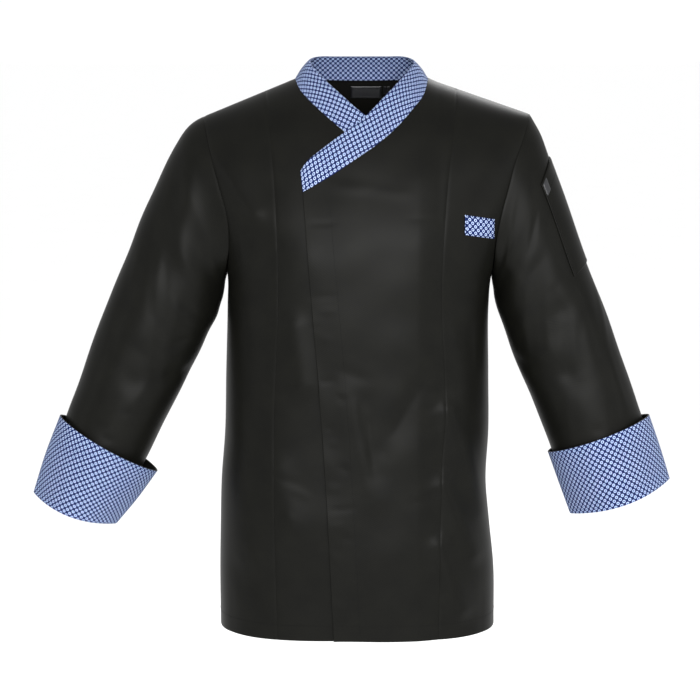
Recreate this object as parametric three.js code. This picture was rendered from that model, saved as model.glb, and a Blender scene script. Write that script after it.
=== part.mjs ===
// A chef's jacket, men's size M, filled out and hollow, as if worn by nobody.
// Millimetres, +Z up. The front faces -Y and the wearer's left is +X.
// The origin lies between the side neck points, where the shoulders carry the jacket.
import * as THREE from "three";

// Cloth and seams
const wall = 1.6; // thickness of the pressed cloth with its turnings
const seamGap = 0.4; // pieces stop this far apart along their seams
const sideSeamStep = 0.3; // front and back each stop this far from the shoulder plane
const layerLift = 2.8; // how far the left front lies outside the right one
const cuffWall = 2.0; // the cuffs are two layers of cloth

// The whole jacket
const hemZ = -752;
const underarmZ = -262;
const neckZ = 4; // height of the side neck points
const neckCentreX = 4;
const neckHalf = 91;
const shoulderFall = { left: 0.345, right: 0.41 }; // drop for each millimetre outwards
const sleeveTurns = 28; // facets round a sleeve
const upperRows = sleeveTurns / 2; // rows from the underarm to the shoulder seam
const lowerRows = 11; // rows from the hem to the underarm
const edgeRows = 6; // of the upper rows, those that end on the front edge below the collar tip
const backNeckDip = 2.5; // the back neckline hangs this far below the side neck points

// Level sections of the body, with no wearer: depths are at the middle of the front and back
const bodySections = [
  { z: -752, centre: -1.4, half: 193, front: 141, back: 126, square: 3.0 },
  { z: -675, centre: -2.1, half: 192.5, front: 139, back: 125, square: 3.0 },
  { z: -610, centre: -4.8, half: 188.5, front: 137, back: 122, square: 2.9 },
  { z: -550, centre: -6.6, half: 185, front: 134, back: 119, square: 2.8 },
  { z: -480, centre: -2.2, half: 184, front: 131, back: 117, square: 2.7 },
  { z: -400, centre: -1.6, half: 182.7, front: 131, back: 118, square: 2.6 },
  { z: -305, centre: -0.5, half: 181, front: 132, back: 123, square: 2.6 },
  { z: -262, centre: 1.5, half: 183, front: 132, back: 126, square: 2.6 },
  { z: -220, centre: 3.5, half: 196, front: 132, back: 128, square: 2.5 },
  { z: -180, centre: 4, half: 212, front: 130, back: 129, square: 2.5 },
  { z: -145, centre: 4, half: 226, front: 128, back: 129, square: 2.5 },
  { z: -115, centre: 4, half: 238, front: 127, back: 128, square: 2.5 },
  { z: -75, centre: 4, half: 252, front: 127, back: 126, square: 2.5 },
  { z: 10, centre: 4, half: 275, front: 127, back: 125, square: 2.5 },
];

// Roundness of the shoulder, from the middle of the neck to the shoulder tips
const shoulderRound = { frontMiddle: 1.9, frontTip: 2.2, backMiddle: 3.0, backTip: 2.4, tipAt: 230 };

// Where the armhole seam stands, seen from the front
const armholes = {
  left: [
    { z: -262, out: 184.5 },
    { z: -220, out: 186 },
    { z: -175, out: 194 },
    { z: -145, out: 202 },
    { z: -110, out: 211 },
    { z: -75, out: 224 },
    { z: -44.3, out: 235 },
  ],
  right: [
    { z: -262, out: 181.5 },
    { z: -220, out: 176 },
    { z: -180, out: 178 },
    { z: -145, out: 187 },
    { z: -98, out: 200 },
    { z: -70, out: 207 },
    { z: -47.2, out: 212 },
  ],
};

// The edge of the front that lies on top, and its mirror image under it
const frontEdge = [
  { z: -752, x: -34 },
  { z: -640, x: -39 },
  { z: -480, x: -48 },
  { z: -400, x: -54 },
  { z: -300, x: -62 },
  { z: -145, x: -74.4 },
];

// The neckline of each front, from the side neck point down to the front edge
const necklines = {
  left: [
    { x: 95, z: 4 },
    { x: 86.7, z: -19.4 },
    { x: 72.5, z: -37 },
    { x: 52.8, z: -58.6 },
    { x: 25.4, z: -82 },
    { x: -3.1, z: -101.3 },
    { x: -36.7, z: -123.7 },
    { x: -74.4, z: -145.2 },
  ],
  right: [
    { x: -87, z: 4 },
    { x: -79, z: -11 },
    { x: -67.6, z: -23.4 },
    { x: -46.7, z: -42.3 },
    { x: -18, z: -66.1 },
    { x: 10, z: -87 },
    { x: 43, z: -108 },
    { x: 74.4, z: -127 },
  ],
};

// The panel seam of each front, hem to shoulder seam
const panelSeams = {
  left: [
    { z: -752, x: 109 },
    { z: -510, x: 113 },
    { z: -440, x: 117 },
    { z: -275, x: 111 },
    { z: -146, x: 118 },
    { z: -10, x: 134 },
  ],
  right: [
    { z: -752, x: -111 },
    { z: -510, x: -115 },
    { z: -440, x: -114 },
    { z: -275, x: -108 },
    { z: -146, x: -112 },
    { z: -10, x: -126 },
  ],
};

// The main folds of the fronts: soft ridges, or troughs where the height is negative
const frontFolds = [
  { fromX: -196, fromZ: -92, toX: -142, toZ: -172, height: 5, width: 17 },
  { fromX: -87, fromZ: -325, toX: -75, toZ: -400, height: 5, width: 18 },
  { fromX: -18, fromZ: -415, toX: 20, toZ: -555, height: 4, width: 18 },
  { fromX: 10, fromZ: -425, toX: 22, toZ: -519, height: -4, width: 18 },
  { fromX: 80, fromZ: -405, toX: 33, toZ: -490, height: -5, width: 18 },
  { fromX: 116, fromZ: -540, toX: 158, toZ: -640, height: 6, width: 15 },
  { fromX: 111, fromZ: -624, toX: 142, toZ: -715, height: 6, width: 15 },
  { fromX: 122, fromZ: -440, toX: 177, toZ: -580, height: 7, width: 17 },
  { fromX: 150, fromZ: -330, toX: 172, toZ: -450, height: -4, width: 16 },
  { fromX: -165, fromZ: -480, toX: -150, toZ: -640, height: 4, width: 24 },
  { fromX: -111, fromZ: -520, toX: -93, toZ: -590, height: 4, width: 22 },
];
const backFolds = [
  { fromX: -120, fromZ: -300, toX: -60, toZ: -520, height: -5, width: 26 },
  { fromX: 118, fromZ: -290, toX: 70, toZ: -500, height: -5, width: 24 },
  { fromX: -20, fromZ: -430, toX: 30, toZ: -640, height: 4, width: 30 },
  { fromX: -140, fromZ: -560, toX: -115, toZ: -730, height: 5, width: 26 },
  { fromX: 120, fromZ: -590, toX: 140, toZ: -730, height: 5, width: 24 },
];

// Sleeve sections from the armhole seam down to the cuff. Outer and inner are the two sides
// seen from the front, far is the middle's place behind the shoulder plane, deep the half depth.
const sleeveSections = {
  left: [
    { along: 0, outerX: 235, outerZ: -44, innerX: 184.5, innerZ: -262, far: 0, deep: 66 },
    { along: 12, outerX: 242.5, outerZ: -57, innerX: 185.1, innerZ: -267, far: 0, deep: 66 },
    { along: 30, outerX: 250, outerZ: -71, innerX: 186, innerZ: -274, far: 0, deep: 66 },
    { along: 62, outerX: 262, outerZ: -102, innerX: 187.3, innerZ: -284, far: -1, deep: 66 },
    { along: 105, outerX: 278, outerZ: -144, innerX: 189.5, innerZ: -298, far: -2, deep: 65 },
    { along: 165, outerX: 300, outerZ: -204, innerX: 194, innerZ: -318, far: -4, deep: 64 },
    { along: 235, outerX: 325.5, outerZ: -272, innerX: 206, innerZ: -350, far: -7, deep: 62 },
    { along: 305, outerX: 350, outerZ: -339, innerX: 226, innerZ: -398, far: -10, deep: 61 },
    { along: 370, outerX: 374, outerZ: -402, innerX: 248, innerZ: -452, far: -14, deep: 60 },
    { along: 435, outerX: 396, outerZ: -463, innerX: 271, innerZ: -513, far: -17, deep: 60 },
    { along: 480, outerX: 414, outerZ: -508, innerX: 285, innerZ: -557, far: -18, deep: 60 },
  ],
  right: [
    { along: 0, outerX: 212, outerZ: -48, innerX: 181.5, innerZ: -262, far: 0, deep: 64 },
    { along: 12, outerX: 224, outerZ: -54, innerX: 183, innerZ: -267, far: 0, deep: 64 },
    { along: 30, outerX: 236, outerZ: -64, innerX: 185, innerZ: -274, far: 0, deep: 65 },
    { along: 62, outerX: 251, outerZ: -87, innerX: 187, innerZ: -285, far: -1, deep: 66 },
    { along: 105, outerX: 273, outerZ: -128, innerX: 190, innerZ: -302, far: -2, deep: 66 },
    { along: 165, outerX: 302, outerZ: -192, innerX: 199, innerZ: -327, far: -4, deep: 65 },
    { along: 235, outerX: 332, outerZ: -265, innerX: 217, innerZ: -364, far: -7, deep: 63 },
    { along: 305, outerX: 361, outerZ: -338, innerX: 242, innerZ: -412, far: -10, deep: 61 },
    { along: 370, outerX: 387, outerZ: -406, innerX: 269, innerZ: -468, far: -13, deep: 59 },
    { along: 435, outerX: 408.5, outerZ: -466, innerX: 299, innerZ: -526, far: -15, deep: 57 },
    { along: 485, outerX: 429, outerZ: -517, innerX: 321, innerZ: -572, far: -16, deep: 57 },
  ],
};
const armholeFade = 100; // along the sleeve, over which its section leaves the armhole's curve
const sleeveLength = { left: 524, right: 530 }; // armhole seam to the fold at the wrist

// The main folds of the sleeves. Turn is in degrees: 0 at the underarm, 90 at the front,
// 180 on the outer side, 270 at the back.
const sleeveFolds = {
  left: [
    { fromAlong: 60, fromTurn: 62, toAlong: 215, toTurn: 52, height: 6, width: 15 },
    { fromAlong: 150, fromTurn: 88, toAlong: 260, toTurn: 70, height: -6, width: 15 },
    { fromAlong: 245, fromTurn: 95, toAlong: 345, toTurn: 84, height: -6, width: 15 },
    { fromAlong: 225, fromTurn: 128, toAlong: 400, toTurn: 128, height: 6, width: 17 },
    { fromAlong: 290, fromTurn: 20, toAlong: 330, toTurn: 80, height: -6, width: 12 },
    { fromAlong: 90, fromTurn: 262, toAlong: 250, toTurn: 285, height: -6, width: 17 },
    { fromAlong: 280, fromTurn: 320, toAlong: 340, toTurn: 250, height: -6, width: 14 },
  ],
  right: [
    { fromAlong: 45, fromTurn: 118, toAlong: 130, toTurn: 92, height: 6, width: 14 },
    { fromAlong: 150, fromTurn: 100, toAlong: 300, toTurn: 70, height: -6, width: 15 },
    { fromAlong: 190, fromTurn: 62, toAlong: 300, toTurn: 45, height: -6, width: 13 },
    { fromAlong: 300, fromTurn: 92, toAlong: 405, toTurn: 105, height: -6, width: 15 },
    { fromAlong: 290, fromTurn: 20, toAlong: 335, toTurn: 82, height: -7, width: 12 },
    { fromAlong: 90, fromTurn: 258, toAlong: 240, toTurn: 290, height: -6, width: 17 },
    { fromAlong: 285, fromTurn: 330, toAlong: 340, toTurn: 255, height: -6, width: 14 },
  ],
};

// Turned-back cuffs: the free edge above and the fold below
const cuffSections = {
  left: [
    { down: 0, outerX: 405.5, outerZ: -460.5, innerX: 265, innerZ: -513.5, far: -17, deep: 66 },
    { down: 0.5, outerX: 421.5, outerZ: -505.5, innerX: 281, innerZ: -557.5, far: -18, deep: 65 },
    { down: 1, outerX: 436, outerZ: -550.5, innerX: 297, innerZ: -600.5, far: -19, deep: 63 },
  ],
  right: [
    { down: 0, outerX: 416, outerZ: -461.5, innerX: 281.5, innerZ: -541, far: -16, deep: 66 },
    { down: 0.5, outerX: 437.5, outerZ: -515.5, innerX: 309.5, innerZ: -579.5, far: -16.5, deep: 63 },
    { down: 1, outerX: 455.5, outerZ: -570.5, innerX: 339.5, innerZ: -615.5, far: -17, deep: 60 },
  ],
};
const cuffRise = 5; // the free edge stands this much higher at the front than at the back

// The collar, round from the tip on the left front: 0 to 1 is the left neckline, 1 to 2 the
// back neckline, 2 to 3 the right neckline. Free is the open edge. Where it lies on the
// fronts it takes their depth, and elsewhere it stands at freeY.
const collarStations = [
  { round: 0, freeX: -77.5, freeZ: -119, freeY: 0, lies: 1, lift: 1 },
  { round: 0.042, freeX: -72.5, freeZ: -108.5, freeY: 0, lies: 1, lift: 1 },
  { round: 0.111, freeX: -61, freeZ: -99, freeY: 0, lies: 1, lift: 1 },
  { round: 0.188, freeX: -47, freeZ: -88, freeY: 0, lies: 1, lift: 1 },
  { round: 0.363, freeX: -20, freeZ: -68.5, freeY: 0, lies: 1, lift: 1 },
  { round: 0.512, freeX: 6, freeZ: -50, freeY: 0, lies: 1, lift: 1 },
  { round: 0.668, freeX: 31, freeZ: -25, freeY: -60, lies: 1, lift: 1 },
  { round: 0.795, freeX: 54, freeZ: -1, freeY: -36, lies: 0.6, lift: 1 },
  { round: 0.893, freeX: 69, freeZ: 17, freeY: -15, lies: 0, lift: 0.9 },
  { round: 1, freeX: 78, freeZ: 29, freeY: 8, lies: 0, lift: 0.6 },
  { round: 1.06, freeX: 70, freeZ: 33.5, freeY: 34, lies: 0, lift: 0.3 },
  { round: 1.247, freeX: 42, freeZ: 34.5, freeY: 55, lies: 0, lift: 0 },
  { round: 1.5, freeX: 3, freeZ: 34.5, freeY: 62, lies: 0, lift: 0 },
  { round: 1.753, freeX: -35, freeZ: 34.5, freeY: 55, lies: 0, lift: 0 },
  { round: 1.94, freeX: -61, freeZ: 34, freeY: 34, lies: 0, lift: 0 },
  { round: 2, freeX: -69, freeZ: 31, freeY: 8, lies: 0, lift: 0 },
  { round: 2.081, freeX: -61, freeZ: 19, freeY: -17, lies: 0, lift: 0 },
  { round: 2.161, freeX: -46, freeZ: 4, freeY: -35, lies: 0.6, lift: 0 },
  { round: 2.295, freeX: -23.5, freeZ: -16, freeY: -57, lies: 1, lift: 0 },
  { round: 2.473, freeX: 3, freeZ: -39, freeY: 0, lies: 1, lift: 0 },
  { round: 2.639, freeX: 29, freeZ: -56, freeY: 0, lies: 1, lift: 0 },
  { round: 2.825, freeX: 57, freeZ: -76, freeY: 0, lies: 1, lift: 0 },
  { round: 3, freeX: 76, freeZ: -93, freeY: 0, lies: 1, lift: 0 },
];
const collarBulge = 3; // the standing band rounds outwards between its edges
const collarCells = 4; // cells between the seam and the free edge

// Small pieces, by their corners on the panel or sleeve that carries them
const chestTab = { lowX: 141.5, highX: 182, lowZ: -202, highZ: -175.5, slope: -0.18, lift: 2.0, wall: 1.2 };
const penPocket = { fromAlong: 63, toAlong: 208, fromTurn: 128, toTurn: 186, lift: 2.45, wall: 1.2 };
const pocketLabel = { fromAlong: 65, toAlong: 86, fromTurn: 129, toTurn: 139, lift: 4.0, wall: 0.8 };
const neckLabel = { middleX: 11, width: 44, topZ: -7, tall: 17, inside: 2.4, wall: 0.8 };
const sizeTab = { middleX: 40, width: 9, topZ: -7, tall: 11, inside: 2.4, wall: 0.8 };

// Colours
const twill = { color: 0x1c1d1c, roughness: 0.62 };
const printedCloth = { color: 0x6f86bd, roughness: 0.7 };
const labelCloth = { color: 0x15161a, roughness: 0.5 };

// A smooth curve through one column of a table, read at a place along its key column
function readColumn(rows, key, field, at) {
  const last = rows.length - 1;
  const way = rows[last][key] > rows[0][key] ? 1 : -1;
  if ((at - rows[0][key]) * way <= 0) return rows[0][field];
  if ((at - rows[last][key]) * way >= 0) return rows[last][field];
  let i = 0;
  while ((at - rows[i + 1][key]) * way > 0) i += 1;
  const rise = (k) => (rows[k + 1][field] - rows[k][field]) / (rows[k + 1][key] - rows[k][key]);
  const slope = (k) => {
    if (k === 0) return rise(0);
    return k === last ? rise(last - 1) : (rise(k - 1) + rise(k)) / 2;
  };
  const span = rows[i + 1][key] - rows[i][key];
  const t = (at - rows[i][key]) / span;
  const between = rows[i][field] + (rows[i + 1][field] - rows[i][field]) * t * t * (3 - 2 * t);
  return between + span * t * (1 - t) * (slope(i) * (1 - t) - slope(i + 1) * t);
}

const mix = (a, b, share) => a + (b - a) * share;

// Height of a soft fold at a place: full along its line, fading at its ends and sides
function foldHeight(fold, from, to, place) {
  const run = [to[0] - from[0], to[1] - from[1]];
  const offset = [place[0] - from[0], place[1] - from[1]];
  const length = Math.hypot(run[0], run[1]);
  const along = (offset[0] * run[0] + offset[1] * run[1]) / length;
  const aside = (offset[0] * run[1] - offset[1] * run[0]) / length;
  const past = Math.max(0, -along, along - length);
  return fold.height * Math.exp(-(aside * aside + past * past) / (fold.width * fold.width));
}

function bodyFoldsAt(folds, x, z) {
  let sum = 0;
  for (const fold of folds) {
    sum += foldHeight(fold, [fold.fromX, fold.fromZ], [fold.toX, fold.toZ], [x, z]);
  }
  return sum;
}

// Height of the shoulder line, carried smoothly across the neck
function shoulderHeight(x) {
  const out = x - neckCentreX;
  const past = Math.abs(out) - neckHalf;
  if (past > 0) return neckZ - past * (out > 0 ? shoulderFall.left : shoulderFall.right);
  const middleFall = (shoulderFall.left + shoulderFall.right) / 2;
  return neckZ + ((middleFall * neckHalf) / 2) * (1 - (out / neckHalf) ** 2);
}

// How far the cloth stands in front of, or behind, the shoulder plane
function clothDepth(face, x, z) {
  const section = (field) => readColumn(bodySections, "z", field, z);
  const sideways = Math.abs((x - section("centre")) / section("half"));
  const upwards = Math.max(0, (z - underarmZ) / (shoulderHeight(x) - underarmZ));
  if (sideways >= 1 || upwards >= 1) return 0;
  const square = section("square");
  const round = mix(
    shoulderRound[`${face}Middle`],
    shoulderRound[`${face}Tip`],
    Math.min(1, (x / shoulderRound.tipAt) ** 2),
  );
  const form = (1 - sideways ** square) ** (1 / square) * (1 - upwards ** round) ** (1 / round);
  const folds = bodyFoldsAt(face === "front" ? frontFolds : backFolds, x, z);
  return section(face) * form + folds * Math.min(1, form * 1.5);
}

// A point on the body, with the direction out of the cloth
function bodyPoint(face, x, z) {
  const away = face === "front" ? -1 : 1;
  const step = 0.5;
  const depth = Math.max(sideSeamStep, clothDepth(face, x, z));
  const slopeX = (clothDepth(face, x + step, z) - clothDepth(face, x - step, z)) / (2 * step);
  const slopeZ = (clothDepth(face, x, z + step) - clothDepth(face, x, z - step)) / (2 * step);
  return {
    at: new THREE.Vector3(x, away * depth, z),
    out: new THREE.Vector3(-slopeX, away, -slopeZ).normalize(),
  };
}

// The left front lies over the right one, and comes down again before its panel seam
function frontLift(x) {
  const rampFrom = 80;
  const rampTo = 108;
  return layerLift * Math.min(1, Math.max(0, (rampTo - x) / (rampTo - rampFrom)));
}

// Equal steps along a stretch of body cloth, given as a function from 0..1 to front view places
function stretchRow(face, placeAt, cells, liftAt = () => 0) {
  const fine = 200;
  const places = [];
  const reach = [0];
  let before = null;
  for (let i = 0; i <= fine; i += 1) {
    // The places crowd towards both ends, where the cloth turns away
    const place = placeAt((1 - Math.cos((Math.PI * i) / fine)) / 2);
    const here = new THREE.Vector3(place.x, clothDepth(face, place.x, place.z), place.z);
    if (before) reach.push(reach[i - 1] + here.distanceTo(before));
    places.push(place);
    before = here;
  }
  const row = [];
  let i = 0;
  for (let cell = 0; cell <= cells; cell += 1) {
    const goal = (reach[fine] * cell) / cells;
    while (i < fine - 1 && reach[i + 1] < goal) i += 1;
    const share = Math.min(1, (goal - reach[i]) / (reach[i + 1] - reach[i]));
    const x = mix(places[i].x, places[i + 1].x, share);
    const z = mix(places[i].z, places[i + 1].z, share);
    row.push({ ...bodyPoint(face, x, z), x, z, lift: liftAt(x) });
  }
  return row;
}

// A geometry with its faces outwards, whichever way its grid ran
function solidFrom(positions, faces) {
  const corner = (i) => new THREE.Vector3(positions[i * 3], positions[i * 3 + 1], positions[i * 3 + 2]);
  let volume = 0;
  for (let i = 0; i < faces.length; i += 3) {
    volume += corner(faces[i]).dot(corner(faces[i + 1]).cross(corner(faces[i + 2])));
  }
  const geometry = new THREE.BufferGeometry();
  geometry.setAttribute("position", new THREE.Float32BufferAttribute(positions, 3));
  geometry.setIndex(volume < 0 ? faces.reverse() : faces);
  geometry.computeVertexNormals();
  return geometry;
}

// Closed cloth from a grid of points: the outer face, the inner face and the rim between them
function clothSolid(grid, thickness, isTube = false) {
  const rows = grid.length;
  const columns = grid[0].length;
  const positions = [];
  for (const depth of [0, thickness]) {
    for (const point of grid.flat()) {
      positions.push(...point.at.clone().addScaledVector(point.out, (point.lift || 0) - depth));
    }
  }
  const inner = rows * columns;
  const faces = [];
  const quad = (a, b, c, d) => faces.push(a, b, c, a, c, d);
  const rim = (a, b) => quad(b, a, inner + a, inner + b);
  const lastColumn = isTube ? columns : columns - 1;
  for (let c = 0; c < lastColumn; c += 1) {
    const next = (c + 1) % columns;
    for (let r = 0; r < rows - 1; r += 1) {
      const near = r * columns;
      const far = near + columns;
      quad(near + c, near + next, far + next, far + c);
      quad(inner + far + c, inner + far + next, inner + near + next, inner + near + c);
    }
    rim(c, next);
    rim((rows - 1) * columns + next, (rows - 1) * columns + c);
  }
  for (let r = 0; r < rows - 1 && !isTube; r += 1) {
    rim((r + 1) * columns, r * columns);
    rim((r + 1) * columns - 1, (r + 2) * columns - 1);
  }
  return solidFrom(positions, faces);
}

// Rows of the body: even steps below the underarm, then crowding towards both armhole ends
const lowerHeight = (i) => mix(hemZ, underarmZ, (lowerRows + i) / lowerRows);
const upperShare = (i) => (1 - Math.cos((Math.PI * i) / upperRows)) / 2;

function armholePlace(side, i) {
  const table = armholes[side];
  const sign = side === "left" ? 1 : -1;
  const tipX = sign * table[table.length - 1].out;
  const z = mix(underarmZ, shoulderHeight(tipX), upperShare(i));
  return i === upperRows ? { x: tipX, z } : { x: sign * readColumn(table, "z", "out", z), z };
}

// The outer end of a row: on the side seam, or on the armhole
function outerPlace(side, i) {
  if (i >= 0) return armholePlace(side, i);
  const z = lowerHeight(i);
  const half = readColumn(bodySections, "z", "half", z);
  return { x: readColumn(bodySections, "z", "centre", z) + (side === "left" ? half : -half), z };
}

// A place on a neckline by its share of the way from the side neck point to the front edge
function necklinePlace(side, share) {
  const table = necklines[side];
  let length = 0;
  const rows = table.map((row, i) => {
    if (i > 0) length += Math.hypot(row.x - table[i - 1].x, row.z - table[i - 1].z);
    return { ...row, length };
  });
  const at = share * length;
  return { x: readColumn(rows, "length", "x", at), z: readColumn(rows, "length", "z", at) };
}

const necklineShare = (i) => (1 - upperShare(i)) / (1 - upperShare(edgeRows));

// The middle end of a front's row: up the front edge, then up the neckline
function middlePlace(side, i) {
  if (i >= edgeRows) return necklinePlace(side, necklineShare(i));
  const cornerZ = necklines[side][necklines[side].length - 1].z;
  const z = i < 0 ? lowerHeight(i) : mix(underarmZ, cornerZ, i / edgeRows);
  return { x: readColumn(frontEdge, "z", "x", z) * (side === "left" ? 1 : -1), z };
}

// Where a front's row crosses its panel seam, or stops beside it
function seamPlace(side, outer, middle, beside) {
  let share = 0.5;
  for (let pass = 0; pass < 12; pass += 1) {
    const x = readColumn(panelSeams[side], "z", "x", mix(outer.z, middle.z, share)) + beside;
    share = (x - outer.x) / (middle.x - outer.x);
  }
  return { x: mix(outer.x, middle.x, share), z: mix(outer.z, middle.z, share) };
}

// A front panel: the side piece from side seam to panel seam, or the centre piece from there
function frontGrid(side, piece, cells) {
  const outwards = side === "left" ? 1 : -1;
  const beside = (seamGap / 2) * (piece === "side" ? outwards : -outwards);
  const lift = side === "left" ? frontLift : undefined;
  const grid = [];
  for (let i = -lowerRows; i <= upperRows; i += 1) {
    const outer = outerPlace(side, i);
    const middle = middlePlace(side, i);
    const seam = seamPlace(side, outer, middle, beside);
    const ends = piece === "side" ? [outer, seam] : [seam, middle];
    const placeAt = (t) => ({ x: mix(ends[0].x, ends[1].x, t), z: mix(ends[0].z, ends[1].z, t) });
    grid.push(stretchRow("front", placeAt, cells, lift));
  }
  return grid;
}

// Top edge of the back: shoulder seams, and the neckline between the side neck points
function backTop(x) {
  const out = Math.abs(x - neckCentreX) / neckHalf;
  return out > 1 ? shoulderHeight(x) : neckZ - backNeckDip * (1 - out * out);
}

// The back, each row in three stretches, so that grid lines meet the side neck points
function backGrid(shoulderCells, neckCells) {
  const tips = ["right", "left"].map((side) => armholePlace(side, upperRows));
  const shareOf = (x) => (x - tips[0].x) / (tips[1].x - tips[0].x);
  const breaks = [0, shareOf(neckCentreX - neckHalf), shareOf(neckCentreX + neckHalf), 1];
  const cells = [shoulderCells, neckCells, shoulderCells];
  const grid = [];
  for (let i = -lowerRows; i <= upperRows; i += 1) {
    const ends = ["right", "left"].map((side) => outerPlace(side, i));
    const placeAt = (share) => {
      const x = mix(ends[0].x, ends[1].x, share);
      if (i < 0) return { x, z: lowerHeight(i) };
      const top = backTop(mix(tips[0].x, tips[1].x, share));
      return { x, z: Math.min(mix(underarmZ, top, upperShare(i)), backTop(x)) };
    };
    const row = [];
    cells.forEach((count, k) => {
      const stretch = stretchRow("back", (t) => placeAt(mix(breaks[k], breaks[k + 1], t)), count);
      row.push(...stretch.slice(k === 0 ? 0 : 1));
    });
    grid.push(row);
  }
  return grid;
}

// Directions out of a grid's cloth, taken from its own points
function faceOut(points, isOutward) {
  const rows = points.length;
  const columns = points[0].length;
  return points.map((row, r) =>
    row.map((at, c) => {
      const alongRow = row[Math.min(c + 1, columns - 1)].clone().sub(row[Math.max(c - 1, 0)]);
      const acrossRows = points[Math.min(r + 1, rows - 1)][c].clone().sub(points[Math.max(r - 1, 0)][c]);
      const out = alongRow.cross(acrossRows).normalize();
      return { at, out: isOutward ? out : out.negate() };
    }),
  );
}

// The collar band, sewn to the points of the three necklines
function collarGrid(leftFront, rightFront, back, shoulderCells, neckCells) {
  const seam = [];
  const outerEdge = (point) => point.at.clone().addScaledVector(point.out, point.lift);
  const last = leftFront[0].length - 1;
  for (let i = edgeRows; i < upperRows; i += 1) {
    seam.push({ at: outerEdge(leftFront[lowerRows + i][last]), round: 1 - necklineShare(i) });
  }
  const top = back[back.length - 1];
  for (let c = 0; c <= neckCells; c += 1) {
    seam.push({ at: outerEdge(top[shoulderCells + neckCells - c]), round: 1 + c / neckCells });
  }
  for (let i = upperRows - 1; i >= edgeRows; i -= 1) {
    seam.push({ at: outerEdge(rightFront[lowerRows + i][last]), round: 2 + necklineShare(i) });
  }
  const lines = seam.map(({ at, round }) => {
    const station = (field) => readColumn(collarStations, "round", field, round);
    const lying = bodyPoint("front", station("freeX"), station("freeZ"));
    const lift = layerLift * station("lift");
    const lies = station("lies");
    const free = new THREE.Vector3(station("freeX"), station("freeY"), station("freeZ"));
    free.lerp(lying.at.addScaledVector(lying.out, lift), lies);
    const start = at.clone().addScaledVector(free.clone().sub(at).normalize(), seamGap);
    const line = [];
    for (let k = 0; k <= collarCells; k += 1) {
      const share = k / collarCells;
      const stands = start.clone().lerp(free, share);
      const outwards = new THREE.Vector3(stands.x - neckCentreX, stands.y - 10, 0).normalize();
      stands.addScaledVector(outwards, collarBulge * 4 * share * (1 - share));
      const onBody = bodyPoint("front", mix(start.x, free.x, share), mix(start.z, free.z, share));
      const liesAt = onBody.at.addScaledVector(onBody.out, lift);
      line.push(k === 0 ? start : stands.lerp(liesAt, lies));
    }
    return line;
  });
  return faceOut(lines, false);
}

// One section of a sleeve or cuff, as a place for each turn
function ringPlace(row, side, turn) {
  const sign = side === "left" ? 1 : -1;
  const angle = (turn * Math.PI) / 180;
  const share = (1 - Math.cos(angle)) / 2;
  return new THREE.Vector3(
    sign * mix(row.innerX, row.outerX, share),
    row.far - row.deep * Math.sin(angle),
    mix(row.innerZ, row.outerZ, share),
  );
}

function sectionAt(table, key, at) {
  const row = {};
  for (const field of Object.keys(table[0])) row[field] = readColumn(table, key, field, at);
  return row;
}

// A sleeve's last section, inside the fold of the cuff
function wristSection(side) {
  const fold = cuffSections[side][2];
  const inset = cuffWall + seamGap;
  const across = [fold.outerX - fold.innerX, fold.outerZ - fold.innerZ];
  const size = Math.hypot(across[0], across[1]);
  const [alongX, alongZ] = [across[0] / size, across[1] / size];
  return {
    along: sleeveLength[side],
    outerX: fold.outerX - alongX * inset - alongZ * inset,
    outerZ: fold.outerZ - alongZ * inset + alongX * inset,
    innerX: fold.innerX + alongX * inset - alongZ * inset,
    innerZ: fold.innerZ + alongZ * inset + alongX * inset,
    far: fold.far,
    deep: fold.deep - inset,
  };
}

const sleeveTables = {
  left: [...sleeveSections.left, wristSection("left")],
  right: [...sleeveSections.right, wristSection("right")],
};

// A place on a sleeve: its sections, the armhole's curve near the top, and the folds
function sleevePlace(side, along, turn) {
  const table = sleeveTables[side];
  const around = ((turn % 360) + 360) % 360;
  const place = ringPlace(sectionAt(table, "along", along), side, around);
  if (along < armholeFade) {
    const armhole = armholePoint(side, around).at;
    const fade = (1 - along / armholeFade) ** 2;
    place.addScaledVector(armhole.sub(ringPlace(table[0], side, around)), fade);
  }
  return place;
}

// The armhole's curve, from the underarm up the front and down the back
function armholePoint(side, turn) {
  const isFront = turn <= 180;
  const i = (upperRows * (isFront ? turn : 360 - turn)) / 180;
  const { x, z } = armholePlace(side, i);
  const point = bodyPoint(isFront ? "front" : "back", x, z);
  if (i < 0.01 || i > upperRows - 0.01) {
    point.at.y = 0;
    point.out.y = 0;
    point.out.normalize();
  }
  return point;
}

function sleevePoint(side, along, turn) {
  const end = sleeveLength[side];
  const stepAlong = 4;
  const stepTurn = 4;
  const back = sleevePlace(side, Math.max(0, along - stepAlong), turn);
  const down = sleevePlace(side, Math.min(end, along + stepAlong), turn).sub(back);
  const before = sleevePlace(side, along, turn - stepTurn);
  const round = sleevePlace(side, along, turn + stepTurn).sub(before);
  const out = down.cross(round).normalize();
  if (side === "right") out.negate();
  const at = sleevePlace(side, along, turn);
  let folds = 0;
  for (const fold of sleeveFolds[side]) {
    // Turns are read as millimetres round a sleeve of middling size
    const perTurn = 1.15;
    const place = [along, turn * perTurn];
    folds += foldHeight(fold, [fold.fromAlong, fold.fromTurn * perTurn], [fold.toAlong, fold.toTurn * perTurn], place);
  }
  const fadeIn = Math.min(1, along / 60) * Math.min(1, (end - along) / 90);
  return { at: at.addScaledVector(out, folds * fadeIn), out };
}

const sleeveRows = [10, 26, 46, 72, 104, 138, 172, 206, 240, 272, 304, 336, 370, 404, 440, 480];

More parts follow.
